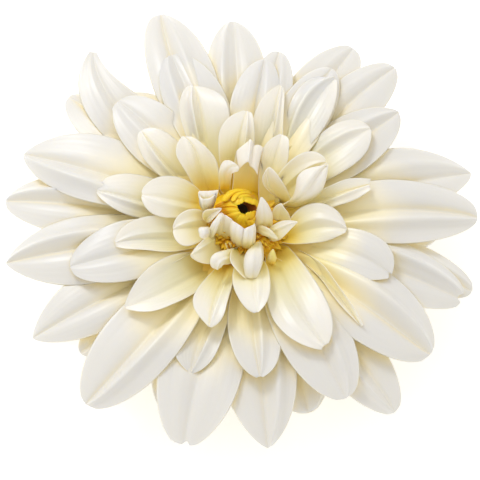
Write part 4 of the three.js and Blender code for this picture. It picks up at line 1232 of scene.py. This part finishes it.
def make_heart_group():
    """How deep a point lies among the petals' feet: near the bloom's axis and below its dome."""
    group, entry, leave = new_group(
        "Heart of the bloom",
        [("Dome", "NodeSocketFloat", 38 * MM), ("Fall", "NodeSocketFloat", 4.0),
         ("Reach", "NodeSocketFloat", 30 * MM), ("Start", "NodeSocketFloat", 3 * MM)],
        [("Mask", "NodeSocketFloat")],
    )
    coordinates = add(group, "ShaderNodeTexCoord")
    parts = add(group, "ShaderNodeSeparateXYZ")
    group.links.new(coordinates.outputs["Object"], parts.inputs[0])
    square = times(group, parts.outputs[0], parts.outputs[0])
    square = times_plus(group, parts.outputs[1], parts.outputs[1], square)
    dome = math_node(group, "SUBTRACT", entry["Dome"], times(group, square, entry["Fall"]))
    depth = math_node(group, "SUBTRACT", dome, parts.outputs[2])
    near = span(group, math_node(group, "SQRT", square), entry["Reach"], 9 * MM)
    deep = span(group, math_node(group, "SUBTRACT", depth, entry["Start"]), 0.0, 9 * MM)
    feed(group, leave["Mask"], times(group, near, deep))


def make_painted_shade_group():
    """How much the blades close by cover a point, as a mask for painted shade."""
    group, entry, leave = new_group(
        "Painted shade where blades cover", [("Reach", "NodeSocketFloat", 14 * MM)], [("Mask", "NodeSocketFloat")],
    )
    sky = add(group, "ShaderNodeAmbientOcclusion", samples=6)
    feed(group, sky.inputs["Distance"], entry["Reach"])
    feed(group, leave["Mask"], span(group, sky.outputs["AO"], 0.3, 0.85, 1.0, 0.0))


def make_shared_effects():
    make_painted_shade_group()
    make_place_group()
    make_heart_group()
    make_vein_group()
    make_mottle_group()
    make_cell_group()


def new_material(name):
    material = bpy.data.materials.new(name)
    material.use_nodes = True
    tree = material.node_tree
    return material, tree, tree.nodes["Principled BSDF"]


def bump(tree, shader, height, distance):
    made = add(tree, "ShaderNodeBump")
    made.inputs["Distance"].default_value = distance
    feed(tree, made.inputs["Height"], height)
    feed(tree, shader.inputs["Normal"], made.outputs[0])


def flesh_light(shader, weight, radius, scale):
    """Lets light spread inside the thin flesh, by a radius for red, green and blue."""
    shader.inputs["Subsurface Weight"].default_value = weight
    shader.inputs["Subsurface Radius"].default_value = radius
    shader.inputs["Subsurface Scale"].default_value = scale


# Materials

# How much of each tint a petal's skin takes, from 0 to 1: painted warm shade where petals cover it,
# yellow deep in the bloom, partly painted warm shade, cream along its veins, a painted glow of light
# through its rim, and cream on its back
PAINTED_SHADE_SHARE = 0.85
DEEP_YELLOW_AND_SHADE_SHARE = 0.65
VEIN_SHARE = 0.03
RIM_GLOW_SHARE = 0.6
BACK_SHARE = 0.35

# Satin of the petals, from the glossiest to the dullest patches
PETAL_ROUGHNESS = (0.32, 0.37)


def petal_material(name, stops, colours, flesh):
    """Satin petal skin whose colours follow each other from the root to the end."""
    settings = bpy.context.scene.dahlia_petals
    material, tree, shader = new_material(name)
    place = use_group(tree, "Place on blade")
    veins = use_group(tree, "Blade veins", Count=float(settings.vein_count))
    mottle = use_group(tree, "Soft mottling", Scale=90.0)["Mask"]
    cells = use_group(tree, "Skin cells", Across=70.0, Along=160.0)["Height"]

    drift = times_plus(tree, mottle, 0.05, place["Along"])
    drift = math_node(tree, "ADD", drift, span(tree, place["Out"], 0.2, 1.0, 0.0, 0.16))
    colour = colour_ramp(tree, drift, stops, colours)
    # Painted warm shade where the blades close by cover the skin
    cover = use_group(tree, "Painted shade where blades cover")["Mask"]
    colour = tint(tree, colour, cover, PAINTED_SHADE_SHARE, settings.shade)
    # Yellow deep in the bloom: partly the petals' own yellow, partly painted warm shade of the hidden
    # parts
    deep_yellow_and_shade = use_group(tree, "Heart of the bloom", Reach=65 * MM, Start=2 * MM)["Mask"]
    colour = tint(tree, colour, deep_yellow_and_shade, DEEP_YELLOW_AND_SHADE_SHARE, settings.yellow)
    # Gold on the petals' roots where they lie deep near the axis: partly their own gold, partly painted
    # warm shade of the hollows
    deep_gold_and_shade = use_group(tree, "Heart of the bloom", Reach=32 * MM, Start=5 * MM)["Mask"]
    root = span(tree, place["Along"], 0.08, 0.5, 0.97, 0.08)
    colour = tint(tree, colour, deep_gold_and_shade, root, settings.gold)
    colour = tint(tree, colour, veins["Mask"], VEIN_SHARE, scaled(settings.cream, 0.92))
    # Painted glow of light through the thin rim
    colour = tint(tree, colour, span(tree, place["Out"], 0.93, 1.0), RIM_GLOW_SHARE, settings.rim)
    colour = tint(tree, colour, place["Underside"], BACK_SHARE, scaled(settings.cream, 0.98))

    feed(tree, shader.inputs["Base Color"], colour)
    feed(tree, shader.inputs["Roughness"], span(tree, mottle, 0.0, 1.0, *PETAL_ROUGHNESS))
    bump(tree, shader, times_plus(tree, cells, 0.35, veins["Height"]), 0.014 * MM)
    flesh_light(shader, flesh, (1.0, 0.92, 0.7), 2.2 * flesh * MM)
    return material


def floret_material(name, lip_colour, foot_colour, low, high):
    """Waxy golden floret, darker at the foot, with painted shade along the furrow lines of its veins
    and where other florets cover it.
    """
    material, tree, shader = new_material(name)
    place = use_group(tree, "Place on blade")
    veins = use_group(tree, "Blade veins", Count=3.0)
    mottle = use_group(tree, "Soft mottling", Scale=420.0)["Mask"]
    cells = use_group(tree, "Skin cells", Across=14.0, Along=22.0)["Height"]
    cover = use_group(tree, "Painted shade where blades cover", Reach=3 * MM)["Mask"]
    drift = times_plus(tree, mottle, 0.15, place["Along"])
    colour = blend_colours(tree, span(tree, drift, low, high), rgba(foot_colour), rgba(lip_colour))
    # Painted shade along the furrow lines of the veins
    colour = tint(tree, colour, veins["Mask"], 0.18, foot_colour)
    # Painted shade where other florets cover the skin
    colour = tint(tree, colour, cover, 0.7, foot_colour)
    feed(tree, shader.inputs["Base Color"], colour)
    feed(tree, shader.inputs["Roughness"], span(tree, mottle, 0.0, 1.0, 0.38, 0.55))
    bump(tree, shader, times_plus(tree, cells, 0.8, veins["Height"]), 0.05 * MM)
    flesh_light(shader, 0.4, (1.0, 0.6, 0.15), 0.9 * MM)
    return material


def green_material(name, main_colour, other_colour, rough):
    """Bract and stem skin, paler along its margins and veins."""
    material, tree, shader = new_material(name)
    place = use_group(tree, "Place on blade")
    veins = use_group(tree, "Blade veins", Count=7.0)
    mottle = use_group(tree, "Soft mottling", Scale=220.0)["Mask"]
    cells = use_group(tree, "Skin cells", Across=24.0, Along=30.0)["Height"]
    rim = span(tree, place["Out"], 0.6, 1.0, 0.0, 0.5)
    pale = times_plus(tree, veins["Mask"], 0.25, rim)
    colour = blend_colours(tree, pale, rgba(main_colour), rgba(other_colour))
    colour = tint(tree, colour, mottle, 0.22, scaled(main_colour, 0.6))
    feed(tree, shader.inputs["Base Color"], colour)
    feed(tree, shader.inputs["Roughness"], span(tree, mottle, 0.0, 1.0, rough, rough + 0.15))
    bump(tree, shader, times_plus(tree, cells, 0.6, veins["Height"]), 0.10 * MM)
    flesh_light(shader, 0.15, (0.5, 1.0, 0.2), 0.8 * MM)
    return material


# Ray petals


def petal_curve(row, shape):
    """The midrib of a petal: its four control points, from the receptacle to the tip."""
    azimuth = math.radians(row.azimuth)
    bend = math.radians(row.bend)
    slope = max(-0.6, min(0.6, math.tan(math.radians(shape.tip_pitch))))
    rise = slope * (row.reach - shape.reach)
    root = outward(azimuth) * shape.root_radius + np.array([0, 0, shape.root_height])
    tip = outward(azimuth) * row.reach + np.array([0, 0, shape.height + rise])
    length = np.linalg.norm(tip - root)
    leaving = direction(azimuth + bend, math.radians(shape.root_pitch))
    arriving = direction(azimuth - bend, math.radians(shape.tip_pitch))
    return [root, root + 0.36 * length * leaving, tip - 0.34 * length * arriving, tip]


def petal_form(settings, seed, crease, size):
    """The relief of a petal, whose ribs and waves are smaller on a small one."""
    return Form(
        crease=crease,
        veins=settings.vein_count,
        vein_depth=settings.vein_depth / MM * size,
        wave=settings.margin_wave / MM * size,
        seed=seed,
    )


def petal_blade(row, seed, grid, settings):
    shape = shape_at(row.level)
    return Blade(
        curve=petal_curve(row, shape),
        side_hint=outward(math.radians(row.azimuth) + math.pi / 2),
        width=row.width,
        roll=row.roll,
        shape=shape,
        tip=row.tip,
        lean=row.lean,
        form=petal_form(settings, seed, shape.crease, min(1.0, row.width / FULL_WIDTH)),
        thickness=settings.thickness / MM,
        grid=grid,
    )


def whorl_shell(table, channel, grid, settings):
    """The petals of one table of blades. Channel picks the random draws."""
    shells = []
    for index, row in enumerate(table):
        shells.append(blade_shell(petal_blade(row, hashed(index, channel), grid, settings)))
    return join(shells)


def sketched_petals(table, channel, crease, size, settings):
    """The petals of one table of sketches. Size is the share of the full ribs and waves they have."""
    shells = []
    for index, sketch in enumerate(table):
        form = petal_form(settings, hashed(index, channel), crease, size)
        shells.append(sketch_shell(sketch, seen_at, form, SKETCH_GRID, settings.thickness / MM, True))
    return join(shells)


def lower_rows(whorl):
    """The petals of a hidden whorl, each a little off its even place."""
    rows = []
    for index in range(whorl.count):
        drift = [hashed(index, whorl.channel + k) - 0.5 for k in range(5)]
        rows.append(Petal(
            level=whorl.level + 0.1 * drift[1],
            azimuth=whorl.phase + 360 / whorl.count * index + 8 * drift[2],
            reach=whorl.reach + 3 * drift[3],
            width=whorl.width,
            bend=6 * drift[4],
        ))
    return rows


class DAHLIA_OT_petals(bpy.types.Operator):
    """Builds the ray petals, whorl by whorl"""

    bl_idname = "dahlia.petals"
    bl_label = "Ray petals"

    def execute(self, context):
        settings = context.scene.dahlia_petals
        whitening = (settings.gold, settings.yellow, settings.cream, settings.white)
        creaming = (settings.gold, settings.yellow, settings.cream, settings.ivory)
        golden = (settings.gold, settings.bright, settings.bright, settings.yellow)
        outer = petal_material("outer petal", (0.02, 0.20, 0.46, 0.78), whitening, 0.35)
        middle = petal_material("middle petal", (0.0, 0.10, 0.32, 0.90), creaming, 0.7)
        inner = petal_material("inner petal", (0.0, 0.08, 0.26, 0.85), creaming, 0.8)
        yellow = petal_material("yellow petal", (0.0, 0.1, 0.9, 1.0), golden, 0.5)
        lower = [row for whorl in LOWER_WHORLS for row in lower_rows(whorl)]
        for name, shell, material in (
            ("petals_outer", whorl_shell(OUTER_WHORL, 101, WHORL_GRID, settings), outer),
            ("petals_wide", whorl_shell(WIDE_WHORL, 102, WHORL_GRID, settings), outer),
            ("petals_broad", sketched_petals(WIDE_PETALS, 103, 0.18, 1.0, settings), outer),
            ("petals_middle", sketched_petals(MIDDLE_PETALS, 104, 0.18, 1.0, settings), middle),
            ("petals_upper", sketched_petals(UPPER_PETALS, 105, 0.18, 0.8, settings), middle),
            ("petals_small", sketched_petals(SMALL_PETALS, 106, 0.10, 0.3, settings), inner),
            ("petals_yellow", sketched_petals(YELLOW_PETALS, 108, 0.10, 0.1, settings), yellow),
            ("petals_lower", whorl_shell(lower, 107, LOWER_GRID, settings), outer),
        ):
            piece(name, shell, material, "petals")
        return {"FINISHED"}


class DAHLIA_OT_receptacle(bpy.types.Operator):
    """Builds the receptacle that the petals grow from"""

    bl_idname = "dahlia.receptacle"
    bl_label = "Receptacle"

    def execute(self, context):
        settings = context.scene.dahlia_petals
        # The lower part takes painted shade, darker towards the bottom
        material = floret_material("receptacle", settings.gold, settings.core, 0.6, 1.1)
        shell = turned(smooth_profile(CORE_PROFILE, 6), 64)
        piece("receptacle", shell, material, "petals")
        return {"FINISHED"}


# Closed centre


def lean_to_mouth(shell):
    """Shears a turned body so that its top lies over the mouth and its foot over the egg's middle."""
    low = EGG_PROFILE[0][1]
    rise = np.clip((shell.vertices[:, 2] - low) / LEAN_HEIGHT, 0, 1) ** 2
    shell.vertices[:, :2] += np.outer(1 - rise, EGG_CENTRE[:2] - MOUTH_CENTRE)
    return shell


def hood_florets(thickness):
    """The florets whose hoods overlap on the egg, round the mouth."""
    shells = []
    for index, sketch in enumerate(HOODS):
        form = Form(crease=0.06, veins=3, vein_depth=0.04, wave=0.1, seed=hashed(index, 201))
        shells.append(sketch_shell(sketch, seen_on_egg, form, HOOD_GRID, thickness, False))
    return join(shells)


def heart_florets():
    """The short golden florets that fill the gaps before the egg."""
    shells = []
    first, last = HEART_AZIMUTHS
    for row, (count, start, end, width) in enumerate(HEART_ROWS):
        for index in range(count):
            drift = [hashed(index, 210 + 10 * row + k) - 0.5 for k in range(4)]
            azimuth = math.radians(first + (last - first) * (index + 0.8 * drift[0]) / count)
            stop = (end[0] + 1.2 * drift[1], end[1] + 2.0 * drift[2])
            wide = width * (1 + 0.6 * drift[3])
            seed = hashed(index, 240 + row)
            blade = bract_blade(azimuth, start, stop, (70, 20), wide, HEART_FLORET, seed)
            blade = blade._replace(tip=POINTED, thickness=HEART_THICKNESS, grid=HEART_GRID)
            shells.append(blade_shell(blade))
    return join(shells)


class DAHLIA_OT_centre(bpy.types.Operator):
    """Builds the closed centre: an egg of hooded florets round a dark mouth"""

    bl_idname = "dahlia.centre"
    bl_label = "Closed centre"

    def execute(self, context):
        settings = context.scene.dahlia_centre
        golden = floret_material("golden floret", settings.yellow, settings.amber, 0.25, 0.75)
        # The mouth's walls: brown, darker towards their foot, partly painted shade of the hollow
        mouth_brown_and_shade = floret_material("mouth wall", settings.mouth_brown_and_shade, scaled(settings.mouth_brown_and_shade, 0.4), 0.1, 0.9)
        # The throat is a near-black body of painted shade at the bottom of the mouth
        dark = floret_material("throat_shade", settings.throat_shade, scaled(settings.throat_shade, 0.3), 0.1, 0.9)
        strand = floret_material("golden strand", settings.strand, settings.amber, 0.0, 0.8)
        egg = turned(smooth_profile(EGG_PROFILE, 5), 48, MOUTH_CENTRE)
        mouth = turned(smooth_profile(MOUTH_PROFILE, 4), 48, MOUTH_CENTRE)
        throat_shade = turned(smooth_profile(THROAT_PROFILE, 4), 32, THROAT_CENTRE)
        for name, shell, material in (
            ("centre_florets", hood_florets(settings.thickness / MM), golden),
            ("centre_egg", lean_to_mouth(egg), golden),
            ("centre_mouth", lean_to_mouth(mouth), mouth_brown_and_shade),
            ("centre_throat", lean_to_mouth(throat_shade), dark),
            ("centre_heart_florets", heart_florets(), strand),
        ):
            piece(name, shell, material, "centre")
        return {"FINISHED"}


# Calyx


def bract_blade(azimuth, start, stop, pitches, width, shape, seed):
    """A blade from one [radius, height] to another."""
    root = outward(azimuth) * start[0] + np.array([0, 0, start[1]])
    tip = outward(azimuth) * stop[0] + np.array([0, 0, stop[1]])
    length = np.linalg.norm(tip - root)
    leaving = direction(azimuth, math.radians(pitches[0]))
    arriving = direction(azimuth, math.radians(pitches[1]))
    return Blade(
        curve=[root, root + 0.35 * length * leaving, tip - 0.35 * length * arriving, tip],
        side_hint=outward(azimuth + math.pi / 2),
        width=width,
        roll=0,
        shape=shape,
        tip=ROUND,
        lean=0.0,
        form=Form(crease=shape.crease, veins=7, vein_depth=0.05, wave=0.2, seed=seed),
        thickness=BRACT_THICKNESS,
        grid=BRACT_GRID,
    )


def bract_ring(ring):
    shells = []
    for index in range(ring.count):
        azimuth = math.radians(360 / ring.count * index + ring.phase)
        seed = hashed(index, ring.channel)
        blade = bract_blade(azimuth, ring.start, ring.stop, ring.pitches, ring.width, ring.shape, seed)
        shells.append(blade_shell(blade))
    return join(shells)


class DAHLIA_OT_calyx(bpy.types.Operator):
    """Builds the cut stem, the green foot of the receptacle and its two rings of bracts"""

    bl_idname = "dahlia.calyx"
    bl_label = "Calyx and stem"

    def execute(self, context):
        settings = context.scene.dahlia_calyx
        green = green_material("calyx green", settings.green, settings.pale, 0.45)
        pale = green_material("inner bract", settings.pale, scaled(settings.pale, 1.3), 0.5)
        for name, shell, material in (
            ("calyx_foot", turned(smooth_profile(FOOT_PROFILE, 5), 64), green),
            ("calyx_inner_bracts", bract_ring(INNER_RING), pale),
            ("calyx_outer_bracts", bract_ring(OUTER_RING), green),
        ):
            piece(name, shell, material, "calyx")
        return {"FINISHED"}


# Stage

# The key light: which way it lies from the bloom, how far off and how wide, in metres
KEY_DIRECTION = Vector((-0.4, 0.62, 0.9))
KEY_DISTANCE = 1.0
KEY_SIZE = 0.25

# The floor: half of its side in metres, and how strongly it glows
FLOOR_HALF = 3.0
FLOOR_GLOW = 0.4


def look_from(made, place, way):
    """Links a camera or light, and turns it from its place to look along a way."""
    bpy.context.scene.collection.objects.link(made)
    made.location = place
    made.rotation_euler = way.to_track_quat("-Z", "Y").to_euler()


def add_camera():
    camera = bpy.data.cameras.new("camera")
    camera.lens = CAMERA_LENS
    camera.sensor_width = CAMERA_SENSOR
    camera.clip_start = 0.01
    camera.clip_end = 100
    made = bpy.data.objects.new("camera", camera)
    back = Vector((0, -math.cos(CAMERA_ELEVATION), math.sin(CAMERA_ELEVATION)))
    look_from(made, CAMERA_TARGET + back * CAMERA_DISTANCE, -back)
    bpy.context.scene.camera = made


def add_key_light(power, colour):
    light = bpy.data.lights.new("key", "AREA")
    light.energy = power
    light.color = colour
    light.shape = "SQUARE"
    light.size = KEY_SIZE
    towards = KEY_DIRECTION.normalized()
    look_from(bpy.data.objects.new("key", light), towards * KEY_DISTANCE, -towards)


def add_fill(strength, colour):
    world = bpy.data.worlds.new("studio")
    world.use_nodes = True
    background = world.node_tree.nodes["Background"]
    background.inputs["Color"].default_value = rgba(colour)
    background.inputs["Strength"].default_value = strength
    bpy.context.scene.world = world


def add_floor(colour):
    mesh = bpy.data.meshes.new("floor")
    corners = [(x * FLOOR_HALF, y * FLOOR_HALF, 0) for x, y in ((-1, -1), (1, -1), (1, 1), (-1, 1))]
    mesh.from_pydata(corners, [], [(0, 1, 2, 3)])
    made = bpy.data.objects.new("floor", mesh)
    bpy.context.scene.collection.objects.link(made)
    material, tree, shader = new_material("plain floor")
    mottle = use_group(tree, "Soft mottling", Scale=3.0)["Mask"]
    patchy = blend_colours(tree, mottle, rgba(colour), rgba(scaled(colour, 0.995)))
    feed(tree, shader.inputs["Base Color"], patchy)
    shader.inputs["Roughness"].default_value = 0.9
    shader.inputs["Specular IOR Level"].default_value = 0.0
    shader.inputs["Emission Color"].default_value = (1.0, 1.0, 1.0, 1.0)
    shader.inputs["Emission Strength"].default_value = FLOOR_GLOW
    mesh.materials.append(material)


class DAHLIA_OT_stage(bpy.types.Operator):
    """Builds the plain floor, the soft light and the camera"""

    bl_idname = "dahlia.stage"
    bl_label = "Stage"

    def execute(self, context):
        settings = context.scene.dahlia_stage
        context.scene.view_settings.view_transform = "Standard"
        add_camera()
        add_key_light(settings.key_power, settings.key_colour)
        add_fill(settings.fill, settings.fill_colour)
        add_floor(settings.floor)
        return {"FINISHED"}


class DAHLIA_PT_panel(bpy.types.Panel):
    """The bloom's settings and the steps that build it"""

    bl_label = "Dahlia bloom"
    bl_idname = "DAHLIA_PT_panel"
    bl_space_type = "VIEW_3D"
    bl_region_type = "UI"
    bl_category = "Dahlia"

    def draw(self, context):
        for group, label, _ in SETTING_GROUPS:
            box = self.layout.box()
            box.label(text=label)
            settings = getattr(context.scene, group)
            for name in settings.bl_rna.properties.keys():
                if name not in ("rna_type", "name"):
                    box.prop(settings, name)
        for operator in OPERATORS:
            self.layout.operator(operator.bl_idname)


SETTING_GROUPS = [
    ("dahlia_petals", "Petals", DahliaPetalSettings),
    ("dahlia_centre", "Centre", DahliaCentreSettings),
    ("dahlia_calyx", "Calyx", DahliaCalyxSettings),
    ("dahlia_stage", "Stage", DahliaStageSettings),
]
OPERATORS = [
    DAHLIA_OT_petals, DAHLIA_OT_receptacle, DAHLIA_OT_centre, DAHLIA_OT_calyx, DAHLIA_OT_stage,
]


def register():
    for name, _, kind in SETTING_GROUPS:
        bpy.utils.register_class(kind)
        setattr(bpy.types.Scene, name, PointerProperty(type=kind))
    for kind in [*OPERATORS, DAHLIA_PT_panel]:
        bpy.utils.register_class(kind)


def unregister():
    for kind in [DAHLIA_PT_panel, *OPERATORS[::-1]]:
        bpy.utils.unregister_class(kind)
    for name, _, kind in SETTING_GROUPS[::-1]:
        delattr(bpy.types.Scene, name)
        bpy.utils.unregister_class(kind)


def main():
    register()
    make_shared_effects()
    bpy.ops.dahlia.petals()
    bpy.ops.dahlia.receptacle()
    bpy.ops.dahlia.centre()
    bpy.ops.dahlia.calyx()
    bpy.ops.dahlia.stage()


if __name__ == "__main__":
    main()
